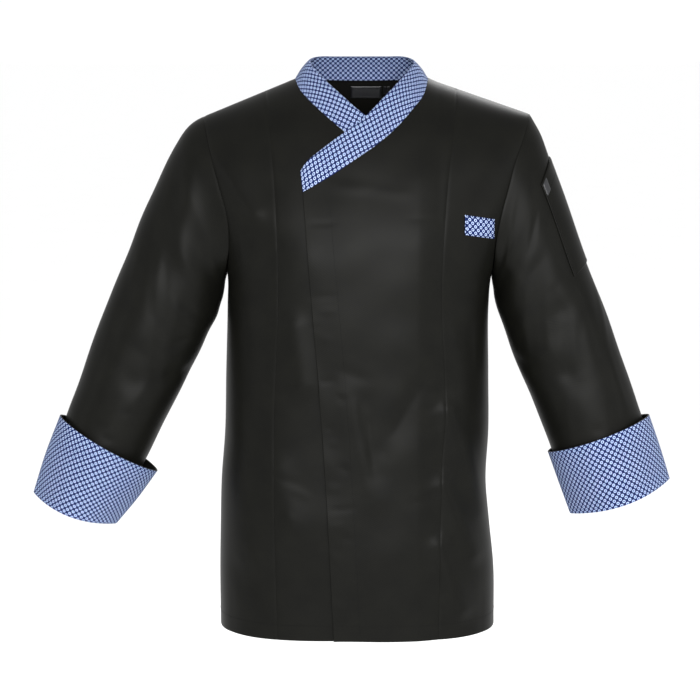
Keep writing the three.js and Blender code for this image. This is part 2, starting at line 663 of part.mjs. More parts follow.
function sleeveGrid(side) {
  const turns = Array.from({ length: sleeveTurns }, (_, i) => (360 * i) / sleeveTurns);
  const top = turns.map((turn) => {
    const point = armholePoint(side, turn);
    // The upper half leaves the body smoothly, and the lower half turns back beside it
    const share = (1 - Math.cos((turn * Math.PI) / 180)) / 2;
    const smooth = Math.min(1, Math.max(0, (share - 0.1) / 0.35));
    point.out.lerpVectors(sleevePoint(side, 5, turn).out, point.out, smooth).normalize();
    point.at.x += side === "left" ? seamGap : -seamGap;
    return point;
  });
  const rows = [...sleeveRows, sleeveLength[side]];
  return [top, ...rows.map((along) => turns.map((turn) => sleevePoint(side, along, turn)))];
}

// A turned-back cuff: flared outer cloth, folded in at the wrist under the sleeve's end
function cuffSolid(side) {
  const table = cuffSections[side];
  const footReach = cuffWall + seamGap + wall;
  const downs = [0, 0.25, 0.5, 0.75, 1];
  const positions = [];
  for (let c = 0; c < sleeveTurns; c += 1) {
    const turn = (360 * c) / sleeveTurns;
    const placeAt = (down, inset) => {
      const row = sectionAt(table, "down", down);
      const size = Math.hypot(row.outerX - row.innerX, row.outerZ - row.innerZ);
      const shrink = inset / size;
      const inwards = {
        ...row,
        outerX: mix(row.outerX, row.innerX, shrink),
        outerZ: mix(row.outerZ, row.innerZ, shrink),
        innerX: mix(row.innerX, row.outerX, shrink),
        innerZ: mix(row.innerZ, row.outerZ, shrink),
        deep: row.deep - inset,
      };
      const place = ringPlace(inwards, side, turn);
      place.z += cuffRise * Math.sin((turn * Math.PI) / 180) * (1 - down);
      return place;
    };
    const height = placeAt(0, 0).distanceTo(placeAt(1, 0));
    const foot = 1 - cuffWall / height;
    const profile = downs.map((down) => placeAt(down, 0));
    profile.push(placeAt(1, footReach), placeAt(foot, footReach), placeAt(foot, cuffWall));
    for (const down of [0.75, 0.5, 0.25, 0]) profile.push(placeAt(down, cuffWall));
    for (const place of profile) positions.push(...place);
  }
  const around = positions.length / 3 / sleeveTurns;
  const faces = [];
  for (let c = 0; c < sleeveTurns; c += 1) {
    const next = (c + 1) % sleeveTurns;
    for (let k = 0; k < around; k += 1) {
      const far = (k + 1) % around;
      const corners = [c * around + k, next * around + k, next * around + far, c * around + far];
      faces.push(corners[0], corners[1], corners[2], corners[0], corners[2], corners[3]);
    }
  }
  return solidFrom(positions, faces);
}

// A small piece on the front or inside the back, its grid taken from the panel's own form
function bodyPatch(face, corners, columns, rows, lift) {
  const grid = [];
  for (let r = 0; r <= rows; r += 1) {
    const row = [];
    for (let c = 0; c <= columns; c += 1) {
      const x = mix(corners.lowX, corners.highX, c / columns);
      const z = mix(corners.lowZ, corners.highZ, r / rows) + (corners.slope || 0) * (x - corners.lowX);
      row.push({ ...bodyPoint(face, x, z), lift });
    }
    grid.push(row);
  }
  return grid;
}

function sleevePatch(side, patch, rows, columns) {
  const grid = [];
  for (let r = 0; r <= rows; r += 1) {
    const along = mix(patch.fromAlong, patch.toAlong, r / rows);
    const row = [];
    for (let c = 0; c <= columns; c += 1) {
      row.push({ ...sleevePoint(side, along, mix(patch.fromTurn, patch.toTurn, c / columns)), lift: patch.lift });
    }
    grid.push(row);
  }
  return grid;
}

function labelCorners(label) {
  return {
    lowX: label.middleX - label.width / 2,
    highX: label.middleX + label.width / 2,
    lowZ: label.topZ - label.tall,
    highZ: label.topZ,
  };
}

const jacket = new THREE.Group();
jacket.name = "chef_jacket";

function add(name, geometry, look) {
  const mesh = new THREE.Mesh(geometry, new THREE.MeshStandardMaterial({ ...look, metalness: 0 }));
  mesh.name = name;
  jacket.add(mesh);
}

const sideCells = 7;
const centreCells = 10;
const backShoulderCells = 7;
const backNeckCells = 8;
const leftCentre = frontGrid("left", "centre", centreCells);
const rightCentre = frontGrid("right", "centre", centreCells);
const back = backGrid(backShoulderCells, backNeckCells);

add("back", clothSolid(back, wall), twill);
add("front_left_centre", clothSolid(leftCentre, wall), twill);
add("front_left_side", clothSolid(frontGrid("left", "side", sideCells), wall), twill);
add("front_right_centre", clothSolid(rightCentre, wall), twill);
add("front_right_side", clothSolid(frontGrid("right", "side", sideCells), wall), twill);
const collar = collarGrid(leftCentre, rightCentre, back, backShoulderCells, backNeckCells);
add("collar", clothSolid(collar, wall), printedCloth);
for (const side of ["left", "right"]) {
  add(`sleeve_${side}`, clothSolid(sleeveGrid(side), wall, true), twill);
  add(`cuff_${side}`, cuffSolid(side), printedCloth);
}
add("chest_tab", clothSolid(bodyPatch("front", chestTab, 4, 3, chestTab.lift), chestTab.wall), printedCloth);
add("pen_pocket", clothSolid(sleevePatch("left", penPocket, 12, 6), penPocket.wall), twill);
add("pocket_label", clothSolid(sleevePatch("left", pocketLabel, 2, 2), pocketLabel.wall), labelCloth);
for (const [name, label] of [["neck_label", neckLabel], ["size_tab", sizeTab]]) {
  add(name, clothSolid(bodyPatch("back", labelCorners(label), 4, 2, -label.inside), label.wall), labelCloth);
}

export default jacket;
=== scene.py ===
import math
import bpy
import numpy as np
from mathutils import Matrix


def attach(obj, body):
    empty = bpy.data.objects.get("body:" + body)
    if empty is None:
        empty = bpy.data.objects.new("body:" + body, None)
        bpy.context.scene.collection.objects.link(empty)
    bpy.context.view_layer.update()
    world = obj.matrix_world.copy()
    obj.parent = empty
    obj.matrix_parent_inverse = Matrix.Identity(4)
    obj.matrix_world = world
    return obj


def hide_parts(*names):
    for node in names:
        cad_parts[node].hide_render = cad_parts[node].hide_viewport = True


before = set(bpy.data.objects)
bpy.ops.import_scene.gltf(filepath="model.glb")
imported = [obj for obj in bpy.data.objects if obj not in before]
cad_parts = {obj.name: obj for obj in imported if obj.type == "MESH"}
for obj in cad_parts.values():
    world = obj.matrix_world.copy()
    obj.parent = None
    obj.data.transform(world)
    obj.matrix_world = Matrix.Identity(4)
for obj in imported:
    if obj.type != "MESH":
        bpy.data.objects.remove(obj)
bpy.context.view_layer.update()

# The jacket's form, in millimetres: a heightfield for the body, rings for the sleeves
size = {
    "hemZ": -755,
    "underarmZ": -262,
    "neckZ": 4,
    "neckCentreX": 4,
    "neckHalf": 91,
    "fallLeft": 0.345,  # shoulder slopes
    "fallRight": 0.41,
    "backNeckDip": 2.5,
    "collarTipRow": 6,  # of the 14 rows above the underarm
    "upperRows": 14,
    "lowerRows": 11,
}
roundness = {"frontMiddle": 1.9, "frontTip": 2.2, "backMiddle": 3.0, "backTip": 2.4, "tipAt": 230}

# Level sections of the body
bodySections = {
    "z": [-752, -675, -610, -550, -480, -400, -305, -262, -220, -180, -145, -115, -75, 10],
    "centre": [-1.4, -2.1, -4.8, -6.6, -2.2, -1.6, -0.5, 1.5, 3.5, 4, 4, 4, 4, 4],
    "half": [193, 192.5, 188.5, 185, 184, 182.7, 181, 183, 196, 212, 226, 238, 252, 275],
    "front": [141, 139, 137, 134, 131, 131, 132, 132, 132, 130, 128, 127, 127, 127],
    "back": [126, 125, 122, 119, 117, 118, 123, 126, 128, 129, 129, 128, 126, 125],
    "square": [3, 3, 2.9, 2.8, 2.7, 2.6, 2.6, 2.6, 2.5, 2.5, 2.5, 2.5, 2.5, 2.5],
}

# Armhole seams, seen from the front
armholes = {
    "left": {
        "z": [-262, -220, -175, -145, -110, -75, -44.3],
        "out": [184.5, 186, 194, 202, 211, 224, 235],
    },
    "right": {
        "z": [-262, -220, -180, -145, -98, -70, -47.2],
        "out": [181.5, 176, 178, 187, 200, 207, 212],
    },
}

frontEdge = {
    "z": [-752, -640, -480, -400, -300, -145],
    "x": [-34, -39, -48, -54, -62, -74.4],
}

necklines = {
    "left": {
        "x": [95, 86.7, 72.5, 52.8, 25.4, -3.1, -36.7, -74.4],
        "z": [4, -19.4, -37, -58.6, -82, -101.3, -123.7, -145.2],
    },
    "right": {
        "x": [-87, -79, -67.6, -46.7, -18, 10, 43, 74.4],
        "z": [4, -11, -23.4, -42.3, -66.1, -87, -108, -127],
    },
}

panelSeams = {
    "left": {
        "z": [-752, -510, -440, -275, -146, -10],
        "x": [109, 113, 117, 111, 118, 134],
    },
    "right": {
        "z": [-752, -510, -440, -275, -146, -10],
        "x": [-111, -115, -114, -108, -112, -126],
    },
}

# Main folds: from x, z, to x, z, height, width. Troughs have a negative height
frontFolds = [
    (-196, -92, -142, -172, 5, 17),
    (-87, -325, -75, -400, 5, 18),
    (-18, -415, 20, -555, 1.6, 18),
    (10, -425, 22, -519, -1.6, 16),
    (80, -405, 33, -490, -2.0, 16),
    (116, -540, 158, -640, 6, 15),
    (111, -624, 142, -715, 6, 15),
    (122, -440, 177, -580, 7, 17),
    (150, -330, 172, -450, -4, 16),
    (-165, -480, -150, -640, 4, 24),
    (-111, -520, -93, -590, 4, 22),
]
backFolds = [
    (-120, -300, -60, -520, -5, 26),
    (118, -290, 70, -500, -5, 24),
    (-20, -430, 30, -640, 4, 30),
    (-140, -560, -115, -730, 5, 26),
    (120, -590, 140, -730, 5, 24),
]
frontFolds.append((-150, -785, 150, -785, -12, 130))  # the front falls in towards the hem


def readColumn(table, key, field, at):
    # smooth curve through one column of a table
    keys, values = np.array(table[key], float), np.array(table[field], float)
    if keys[-1] < keys[0]:
        keys, values = keys[::-1], values[::-1]
    rise = np.diff(values) / np.diff(keys)
    slope = np.concatenate([rise[:1], (rise[:-1] + rise[1:]) / 2, rise[-1:]])
    at = np.clip(at, keys[0], keys[-1])
    i = np.clip(np.searchsorted(keys, at, side="right") - 1, 0, len(keys) - 2)
    span = keys[i + 1] - keys[i]
    t = (at - keys[i]) / span
    between = values[i] + (values[i + 1] - values[i]) * t * t * (3 - 2 * t)
    return between + span * t * (1 - t) * (slope[i] * (1 - t) - slope[i + 1] * t)


def mix(a, b, share):
    return a + (b - a) * share


def unit(v):
    return v / np.maximum(np.linalg.norm(v, axis=-1, keepdims=True), 1e-9)


def softFold(row, p, q):
    # a fold of the solid: full along its line, fading past its ends and sides
    p0, q0, p1, q1, height, width = row
    length = math.hypot(p1 - p0, q1 - q0)
    along = ((p - p0) * (p1 - p0) + (q - q0) * (q1 - q0)) / length
    aside = ((p - p0) * (q1 - q0) - (q - q0) * (p1 - p0)) / length
    past = np.maximum(0, np.maximum(-along, along - length))
    return height * np.exp(-(aside**2 + past**2) / width**2)


def crease(row, p, q):
    # a pressed or pulled crease: a crest between two shallow sides, bowed, tapering to its ends
    p0, q0, p1, q1, height, width, bow = row
    length = max(1, math.hypot(p1 - p0, q1 - q0))
    share = ((p - p0) * (p1 - p0) + (q - q0) * (q1 - q0)) / length**2
    t = np.clip(share, 0, 1)
    aside = ((p - p0) * (q1 - q0) - (q - q0) * (p1 - p0)) / length - bow * 4 * t * (1 - t)
    past = np.maximum(0, np.abs(share - 0.5) - 0.5) * length
    taper = 0.25 + 0.75 * np.sqrt(np.sin(np.pi * t).clip(0, 1))
    a2 = (aside / width) ** 2 + (past / (0.8 * width)) ** 2
    return height * taper * (1 - 0.5 * a2) * np.exp(-0.9 * a2)


def unevenness(p, q, seed, amount):
    # the slight waviness that no cloth is free of
    rng = np.random.default_rng(seed)
    total = 0
    for _ in range(14):
        angle, wave, phase = rng.uniform(0, math.pi), rng.uniform(55, 190), rng.uniform(0, 6.3)
        total = total + wave * np.sin((p * math.cos(angle) + q * math.sin(angle)) * 6.283 / wave + phase)
    return amount * total / 450


def shoulderHeight(x):
    out = x - size["neckCentreX"]
    past = np.abs(out) - size["neckHalf"]
    fall = np.where(out > 0, size["fallLeft"], size["fallRight"])
    middle = (size["fallLeft"] + size["fallRight"]) / 4 * size["neckHalf"]
    return size["neckZ"] + np.where(past > 0, -past * fall, middle * (1 - (out / size["neckHalf"]) ** 2))


def clothDepth(face, x, z):
    # how far the cloth stands in front of, or behind, the shoulder plane
    sideways = np.abs(x - readColumn(bodySections, "z", "centre", z)) / readColumn(bodySections, "z", "half", z)
    upwards = np.maximum(0, (z - size["underarmZ"]) / (shoulderHeight(x) - size["underarmZ"]))
    inside = (sideways < 1) & (upwards < 1)
    sideways, upwards = np.minimum(sideways, 1), np.minimum(upwards, 1)
    square = readColumn(bodySections, "z", "square", z)
    tip = np.minimum(1, (x / roundness["tipAt"]) ** 2)
    rounded = mix(roundness[face + "Middle"], roundness[face + "Tip"], tip)
    form = (1 - sideways**square) ** (1 / square) * (1 - upwards**rounded) ** (1 / rounded)
    folds = sum(softFold(row, x, z) for row in (frontFolds if face == "front" else backFolds))
    folds = folds + sum(crease(row, x, z) for row in creases[face])
    folds = folds + unevenness(x, z, 3 if face == "front" else 8, 0.9)
    depth = readColumn(bodySections, "z", face, z) * form + folds * np.minimum(1, form * 1.5)
    return np.where(inside, depth, 0)


def bodyPoint(face, x, z):
    x, z = np.asarray(x, float), np.asarray(z, float)
    away, step = (-1 if face == "front" else 1), 0.5
    depth = clothDepth(face, x, z) - 0.05  # front and back just meet at the side seams
    slopeX = (clothDepth(face, x + step, z) - clothDepth(face, x - step, z)) / (2 * step)
    slopeZ = (clothDepth(face, x, z + step) - clothDepth(face, x, z - step)) / (2 * step)
    at = np.stack([x, away * depth, z], -1)
    return at, unit(np.stack([-slopeX, np.full_like(slopeX, away), -slopeZ], -1))


def lowerHeight(i):
    return mix(size["hemZ"], size["underarmZ"], (size["lowerRows"] + i) / size["lowerRows"])


def upperShare(i):
    return (1 - np.cos(np.pi * i / size["upperRows"])) / 2


def armholePlace(side, i):
    table, sign = armholes[side], (1 if side == "left" else -1)
    tipX = sign * table["out"][-1]
    z = mix(size["underarmZ"], shoulderHeight(np.array(float(tipX))), upperShare(i))
    return sign * readColumn(table, "z", "out", z), z


def outerPlace(side, i):
    # the outer end of a row: on the side seam, or on the armhole
    sign = 1 if side == "left" else -1
    z = lowerHeight(i)
    x = readColumn(bodySections, "z", "centre", z) + sign * readColumn(bodySections, "z", "half", z)
    upX, upZ = armholePlace(side, np.maximum(i, 0))
    return np.where(i >= 0, upX, x), np.where(i >= 0, upZ, z)


def necklinePlace(side, share):
    table = necklines[side]
    length = np.concatenate([[0], np.cumsum(np.hypot(np.diff(table["x"]), np.diff(table["z"])))])
    measured = {"length": length, "x": table["x"], "z": table["z"]}
    return tuple(readColumn(measured, "length", field, share * length[-1]) for field in ("x", "z"))


def necklineShare(i):
    return (1 - upperShare(i)) / (1 - upperShare(size["collarTipRow"]))


def middlePlace(side, i):
    # the middle end of a front's row: up the front edge, then up the neckline
    neckX, neckZ = necklinePlace(side, np.clip(necklineShare(i), 0, 1))
    cornerZ = necklines[side]["z"][-1]
    z = np.where(i < 0, lowerHeight(i), mix(size["underarmZ"], cornerZ, i / size["collarTipRow"]))
    edgeX = readColumn(frontEdge, "z", "x", z) * (1 if side == "left" else -1)
    isNeck = i >= size["collarTipRow"]
    return np.where(isNeck, neckX, edgeX), np.where(isNeck, neckZ, z)


def seamPlace(side, outer, middle, beside):
    share = np.full(outer[0].shape, 0.5)
    for _ in range(14):
        x = readColumn(panelSeams[side], "z", "x", mix(outer[1], middle[1], share)) + beside
        share = (x - outer[0]) / (middle[0] - outer[0])
    return mix(outer[0], middle[0], share), mix(outer[1], middle[1], share)


def places(length, step, tightStart=True, tightEnd=True):
    # shares 0..1 of a stretch of cloth, close together where it ends in a seam or an edge
    near = np.array([0, 0.7, 1.6, 2.8, 4.6])
    start = near if tightStart else near[:1]
    end = length - (near if tightEnd else near[:1])[::-1]
    count = max(3, int((end[0] - start[-1]) / step))
    return np.concatenate([start, np.linspace(start[-1], end[0], count + 1)[1:-1], end]) / length


def stretchRows(face, start, end, shares):
    # points at equal lengths of cloth along straight rows, seen from the front
    t = upperShare(np.linspace(0, size["upperRows"], 241))[None, :]
    x = mix(start[0][:, None], end[0][:, None], t)
    z = mix(start[1][:, None], end[1][:, None], t)
    path = np.stack([x, clothDepth(face, x, z), z], -1)
    reach = np.cumsum(np.linalg.norm(np.diff(path, axis=1, prepend=path[:, :1]), axis=-1), axis=1)
    rows = []
    for r in range(len(x)):
        goal = shares * reach[r, -1]
        rows.append((np.interp(goal, reach[r], x[r]), np.interp(goal, reach[r], z[r])))
    return np.array([row[0] for row in rows]), np.array([row[1] for row in rows])


# Creases, from x, z, to x, z: height, width and bow. Troughs have a negative height.
# On a sleeve they run from along, turn, to along, turn
creases = {
    "front": [
        # under the collar and at the placket, left front
        (-40, -134, 18, -140, 0.68, 9, 2),
        (18, -142, 72, -148, 0.41, 8, 1),
        (-66, -186, -30, -185, -0.41, 4.5, 0.5),
        (64, -180, 108, -179, -0.36, 4, 0.3),
        (103, -189, 108, -197, 0.27, 4, 0),
        (-66, -284, -30, -281, -0.5, 5, -0.6),
        (-53, -301, -30, -300, 0.45, 5, 0.5),
        (-62, -324, -50, -323, -0.41, 4, 0),
        (-49, -338, -37, -339, 0.41, 5, 0),
        (-53, -396, -30, -394, -0.59, 4.5, 0.8),
        (-28, -378, 16, -396, -0.72, 9, 1),
        (-29, -416, -18, -423, -0.81, 5, 0),
        (-6, -420, -1, -472, 0.99, 6, 1.0),
        (-1, -472, 14, -550, 0.81, 7, -1.5),
        (12, -446, 21, -514, -0.99, 7, 1.5),
        (81, -407, 45, -472, -0.59, 7, 1),
        (-45, -460, -34, -459, -0.54, 4.5, 0),
        (-40, -480, -28, -480, 0.45, 5, 0),
        (-28, -511, -13, -518, -0.59, 6, 0.5),
        (-43, -540, -25, -542, 0.59, 6, 0.5),
        (-40, -571, -4, -568, -0.59, 4.5, 0.8),
        (-40, -594, -17, -592, 0.5, 6, 0.5),
        (-25, -607, -4, -612, -0.59, 5, 0.4),
        (-39, -629, -24, -642, 0.63, 6, 0.5),
        (-37, -701, -18, -707, 0.59, 7, 0.5),
        (-35, -732, -9, -725, -0.41, 6, 0.3),
        # beside the left panel seam
        (94, -265, 104, -269, -0.45, 4, 0),
        (97, -348, 110, -348, 0.5, 5, 0.3),
        (93, -367, 113, -379, 0.9, 4, 0.5),
        (87, -376, 109, -388, -0.9, 4.5, -0.5),
        (81, -387, 109, -393, -0.68, 6, 0.5),
        (97, -402, 111, -404, 0.54, 4.5, 0),
        (97, -422, 111, -421, 0.54, 4.5, 0),
        (89, -435, 104, -434, -0.5, 4.5, 0),
        (95, -461, 110, -460, -0.5, 4.5, 0),
        (94, -541, 111, -543, 0.54, 4, 0),
        (94, -551, 111, -553, -0.54, 4, 0),
        (71, -561, 99, -559, -0.54, 5, 0.5),
        (79, -602, 110, -598, 0.59, 6, 0.5),
        (90, -661, 106, -657, 0.45, 6, 0.4),
        (100, -702, 115, -700, 0.54, 5, 0),
        (158, -328, 165, -415, 0.54, 5, 1),
        (150, -479, 173, -566, 0.63, 6, 1.5),
        (133, -290, 140, -361, -0.45, 7, 1),
        (130, -418, 141, -467, -0.5, 7, -0.8),
        # right front, beside and under the left one
        (-122, -523, -82, -536, -0.72, 6, 1.5),
        (-90, -544, -67, -555, 0.54, 6, -0.5),
        (-102, -580, -88, -585, 0.72, 7, 0),
        (-95, -607, -79, -612, -0.54, 6, 0.5),
        (-84, -666, -70, -669, -0.5, 6, 0),
        (-112, -693, -67, -685, 0.59, 7, 0.8),
        (-160, -202, -156, -240, 0.68, 5, 0.5),
        (-148, -204, -146, -239, -0.63, 5, 0.4),
        (-106, -208, -104, -221, -0.59, 5, 0),
        (-130, -289, -122, -350, 0.41, 8, 1),
        (-154, -292, -147, -389, -0.45, 8, 1.2),
        (-164, -419, -152, -502, 0.5, 8, -1.5),
        (-145, -501, -131, -588, -0.5, 9, 1.5),
        (-153, -617, -131, -664, 0.54, 8, 1),
        (-169, -649, -154, -716, -0.45, 9, -1),
        (-131, -698, -123, -745, 0.41, 8, 0.6),
    ],
    "back": [
        (-150, -120, -95, -205, 1.2, 9, 4),
        (148, -118, 100, -214, 1.12, 9, -4),
        (-60, -52, -8, -66, -0.75, 8, 3),
        (14, -60, 72, -48, -0.68, 8, 3),
        (-120, -262, -62, -330, -1.05, 9, 3),
        (118, -270, 74, -352, -0.98, 9, -3),
        (-30, -330, -18, -452, 0.9, 10, 4),
        (34, -352, 22, -470, -0.9, 9, -4),
        (-96, -410, -40, -428, 1.12, 8, 2),
        (-84, -432, -26, -446, -1.2, 8, 2),
        (52, -418, 108, -404, 1.05, 8, 2),
        (40, -440, 96, -430, -1.05, 8, 2),
        (-128, -480, -112, -590, 0.9, 9, -3),
        (124, -470, 132, -600, 0.9, 9, 3),
        (-70, -520, -58, -640, -0.83, 10, 3),
        (60, -540, 52, -668, -0.75, 10, -3),
        (-6, -560, 4, -700, 0.75, 11, 3),
        (-150, -640, -132, -730, 0.83, 9, 2),
        (146, -650, 128, -736, 0.75, 9, -2),
    ],
    "sleeveLeft": [
        (14, 98, 55, 55, 0.9, 6, 3),
        (61, 53, 148, 65, 0.8, 6, -2),
        (170, 69, 312, 34, 0.8, 7, 2),
        (75, 113, 111, 86, -1.0, 8, 2),
        (198, 99, 255, 102, -1.0, 8, 2),
        (259, 100, 338, 75, -0.9, 8, -2),
        (269, 115, 336, 98, -0.9, 9, 2),
        (239, 165, 318, 138, 0.9, 8, -2),
        (320, 137, 407, 133, 0.9, 8, 2),
        (413, 84, 423, 96, -0.7, 7, 0),
        (208, 86, 289, 69, 0.6, 6, 1),
        (362, 67, 415, 58, 0.6, 7, 1),
        (386, 115, 429, 110, -0.5, 6, 1),
        (34, 172, 61, 160, 0.5, 7, 1),
        # behind
        (30, 250, 96, 300, 0.9, 8, 3),
        (52, 232, 130, 268, -0.8, 8, -3),
        (222, 228, 240, 288, 1.0, 8, 3),
        (246, 236, 262, 300, -1.0, 8, 3),
        (282, 226, 292, 282, 0.9, 8, -3),
        (330, 240, 420, 262, 0.65, 9, 3),
        (360, 290, 440, 310, -0.65, 9, -2),
    ],
    "sleeveRight": [
        (10, 145, 18, 118, 0.9, 4.5, 1),
        (18, 140, 27, 124, -1.1, 3.5, 0),
        (151, 129, 196, 112, -0.9, 8, 1),
        (198, 111, 246, 93, -0.75, 8, -1),
        (162, 105, 233, 83, -0.9, 7, 2),
        (237, 83, 334, 54, -0.8, 8, -2),
        (207, 66, 192, 51, 0.9, 5, 0.5),
        (258, 60, 227, 39, -1.0, 5, 1),
        (264, 50, 241, 32, 0.7, 5, 1),
        (379, 82, 368, 46, -0.8, 6, 1),
        (424, 93, 419, 77, -0.8, 6, 0),
        (184, 139, 244, 123, 0.7, 8, -1),
        (190, 75, 246, 67, 0.6, 6, 1),
        (325, 70, 368, 76, 0.6, 7, 1),
        (295, 137, 344, 129, 0.5, 9, 1),
        (252, 134, 315, 122, -0.5, 9, -1),
        (96, 135, 137, 127, 0.5, 8, 1),
        # behind
        (26, 246, 88, 296, 0.85, 8, 3),
        (60, 230, 124, 262, -0.75, 8, -3),
        (212, 232, 236, 290, 0.95, 8, 3),
        (244, 230, 256, 296, -1.0, 8, 3),
        (276, 236, 300, 286, 0.85, 8, -3),
        (340, 246, 430, 256, 0.65, 9, 3),
        (352, 286, 424, 314, -0.6, 9, -2),
    ],
    # on a cuff: turn, half its spread in degrees, height, share of the way down, its spread
    "cuffLeft": [(60, 26, 1.0, 0.3, 0.6), (118, 24, -0.9, 0.5, 0.7), (230, 30, 1.2, 0.5, 0.7), (310, 22, -0.9, 0.3, 0.6)],
    "cuffRight": [(52, 20, -0.8, 0.4, 0.6), (100, 28, 1.0, 0.4, 0.7), (215, 28, 1.1, 0.4, 0.7), (298, 24, -0.9, 0.6, 0.6)],
}


def addNode(tree, kind, settings=None, links=None):
    # one node, its settings, and links given as input: (node, output)
    node = tree.nodes.new("ShaderNode" + kind)
    for name, value in (settings or {}).items():
        if isinstance(name, int) or name in node.inputs:
            node.inputs[name].default_value = value
        else:
            setattr(node, name, value)
    for name, (source, output) in (links or {}).items():
        tree.links.new(source.outputs[output], node.inputs[name])
    return node


def linear(code):
    # sRGB hex to the linear colour that the shader works in
    parts = [int(code[i : i + 2], 16) / 255 for i in (1, 3, 5)]
    return tuple(c / 12.92 if c <= 0.04045 else ((c + 0.055) / 1.055) ** 2.4 for c in parts) + (1,)


def gridOut(points, isTube, towards):
    # directions out of a grid's cloth, on the side that towards points to
    if isTube:
        across = np.roll(points, -1, 1) - np.roll(points, 1, 1)
    else:
        across = np.gradient(points, axis=1)
    out = unit(np.cross(across, np.gradient(points, axis=0)))
    return out if np.sum(out * towards) > 0 else -out


def clothUv(points, isTube=False):
    # lengths of cloth along the rows and up the columns, in millimetres
    closed = np.concatenate([points, points[:, :1]], 1) if isTube else points
    u = np.cumsum(np.linalg.norm(np.diff(closed, axis=1, prepend=closed[:, :1]), axis=-1), axis=1)
    v = np.cumsum(np.linalg.norm(np.diff(closed, axis=0, prepend=closed[:1]), axis=-1), axis=0)
    middle = u.shape[1] // 2
    return np.stack([u - u[:, middle : middle + 1], np.repeat(v[:, middle : middle + 1], u.shape[1], 1)], -1)


def turned(uv, degrees):
    # the same cloth cut at another angle
    cos, sin = math.cos(math.radians(degrees)), math.sin(math.radians(degrees))
    return np.stack([uv[..., 0] * cos - uv[..., 1] * sin, uv[..., 0] * sin + uv[..., 1] * cos], -1)


def addShell(name, outer, out, wall, uv, material, isTube=False, innerUv=None):
    # closed cloth: the outer face, the inner face and a rim all round
    rows, columns = outer.shape[:2]
    layers = np.stack([outer, outer - out * wall])
    spans = columns if isTube else columns - 1
    r, c = (a.ravel() for a in np.meshgrid(np.arange(rows - 1), np.arange(spans), indexing="ij"))
    edgeC, edgeR = np.arange(spans), np.arange(rows - 1)
    zero, last = np.zeros_like, lambda a, n: np.full_like(a, n)
    quads = [
        [(0, r, c), (0, r, c + 1), (0, r + 1, c + 1), (0, r + 1, c)],
        [(1, r + 1, c), (1, r + 1, c + 1), (1, r, c + 1), (1, r, c)],
    ]
    for row, turn in ((zero(edgeC), 1), (last(edgeC, rows - 1), -1)):
        quads.append([(1, row, edgeC), (1, row, edgeC + 1), (0, row, edgeC + 1), (0, row, edgeC)][::turn])
    if not isTube:
        for column, turn in ((zero(edgeR), -1), (last(edgeR, columns - 1), 1)):
            quads.append([(1, edgeR, column), (1, edgeR + 1, column), (0, edgeR + 1, column), (0, edgeR, column)][::turn])
    faces, faceUv = [], []
    for quad in quads:
        faces.append(np.stack([layer * rows * columns + a * columns + b % columns for layer, a, b in quad], -1))
        faceUv.append(np.stack([(innerUv if layer and innerUv is not None else uv)[a, b] for layer, a, b in quad], 1))
    faces, faceUv = np.concatenate(faces), np.concatenate(faceUv)
    corners = layers.reshape(-1, 3)
    a, b, c, d = (corners[faces[:, k]] for k in range(4))
    if np.sum(a * (np.cross(b, c) + np.cross(c, d))) < 0:
        faces, faceUv = faces[:, ::-1], faceUv[:, ::-1]
    return addMesh(name, corners, faces, material, faceUv)


def addMesh(name, corners, faces, material, faceUv=None):
    mesh = bpy.data.meshes.new(name)
    mesh.from_pydata((corners / 1000).tolist(), [], faces.tolist())
    if faceUv is not None:
        layer = mesh.uv_layers.new(name="cloth")
        layer.data.foreach_set("uv", faceUv.reshape(-1).astype(np.float32))
    mesh.materials.append(material)
    mesh.polygons.foreach_set("use_smooth", [True] * len(faces))
    mesh.update()
    piece = bpy.data.objects.new(name, mesh)
    bpy.context.scene.collection.objects.link(piece)
    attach(piece, "root")
    return piece


def sewnDip(points, out, edges, dip):
    # cloth turns in along its seams: edges names the sewn sides
    lengthU = np.cumsum(np.linalg.norm(np.diff(points, axis=1, prepend=points[:, :1]), axis=-1), axis=1)
    lengthV = np.cumsum(np.linalg.norm(np.diff(points, axis=0, prepend=points[:1]), axis=-1), axis=0)
    away = {"start": lengthU, "end": lengthU[:, -1:] - lengthU, "low": lengthV, "high": lengthV[-1:] - lengthV}
    total = sum(np.exp(-((away[edge] / dip["width"]) ** 2)) for edge in edges)
    return points - out * (dip["depth"] * np.minimum(1, total))[..., None]


def addStitches(name, path, out, thread, material):
    # short raised stitches along a line on the cloth, one mesh
    reach = np.concatenate([[0], np.cumsum(np.linalg.norm(np.diff(path, axis=0), axis=1))])
    pitch = thread["long"] + thread["gap"]
    starts = np.arange(0, max(reach[-1] - thread["long"], 0.1), pitch)
    at = lambda s: np.stack([np.interp(s, reach, path[:, k]) for k in range(3)], -1)
    up = unit(np.stack([np.interp(starts, reach, out[:, k]) for k in range(3)], -1))
    a, b = at(starts), at(starts + thread["long"])
    forward = unit(b - a)
    side = unit(np.cross(forward, up))
    turns = np.arange(6) * math.pi / 3
    rings = []
    for share, thick in ((0, 0.35), (0.25, 1), (0.75, 1), (1, 0.35)):
        centre = mix(a, b, share) + up * thread["thick"] * (0.3 if 0 < share < 1 else 0)
        for turn in turns:
            rings.append(centre + (side * math.cos(turn) + up * math.sin(turn)) * thread["thick"] * thick / 2)
    corners = np.stack(rings, 1)
    faces = [[k * 6 + j, k * 6 + (j + 1) % 6, k * 6 + 6 + (j + 1) % 6, k * 6 + 6 + j] for k in range(3) for j in range(6)]
    every = np.concatenate([np.array(faces) + 24 * n for n in range(len(starts))])
    return addMesh(name, corners.reshape(-1, 3), every, material)


# The body: one back and four front panels
panel = {"wall": 0.9, "step": 4.2, "gap": 0, "layerLift": 2.8, "rampFrom": 80, "rampTo": 108}
seamDip = {"depth": 0.5, "width": 2.0}


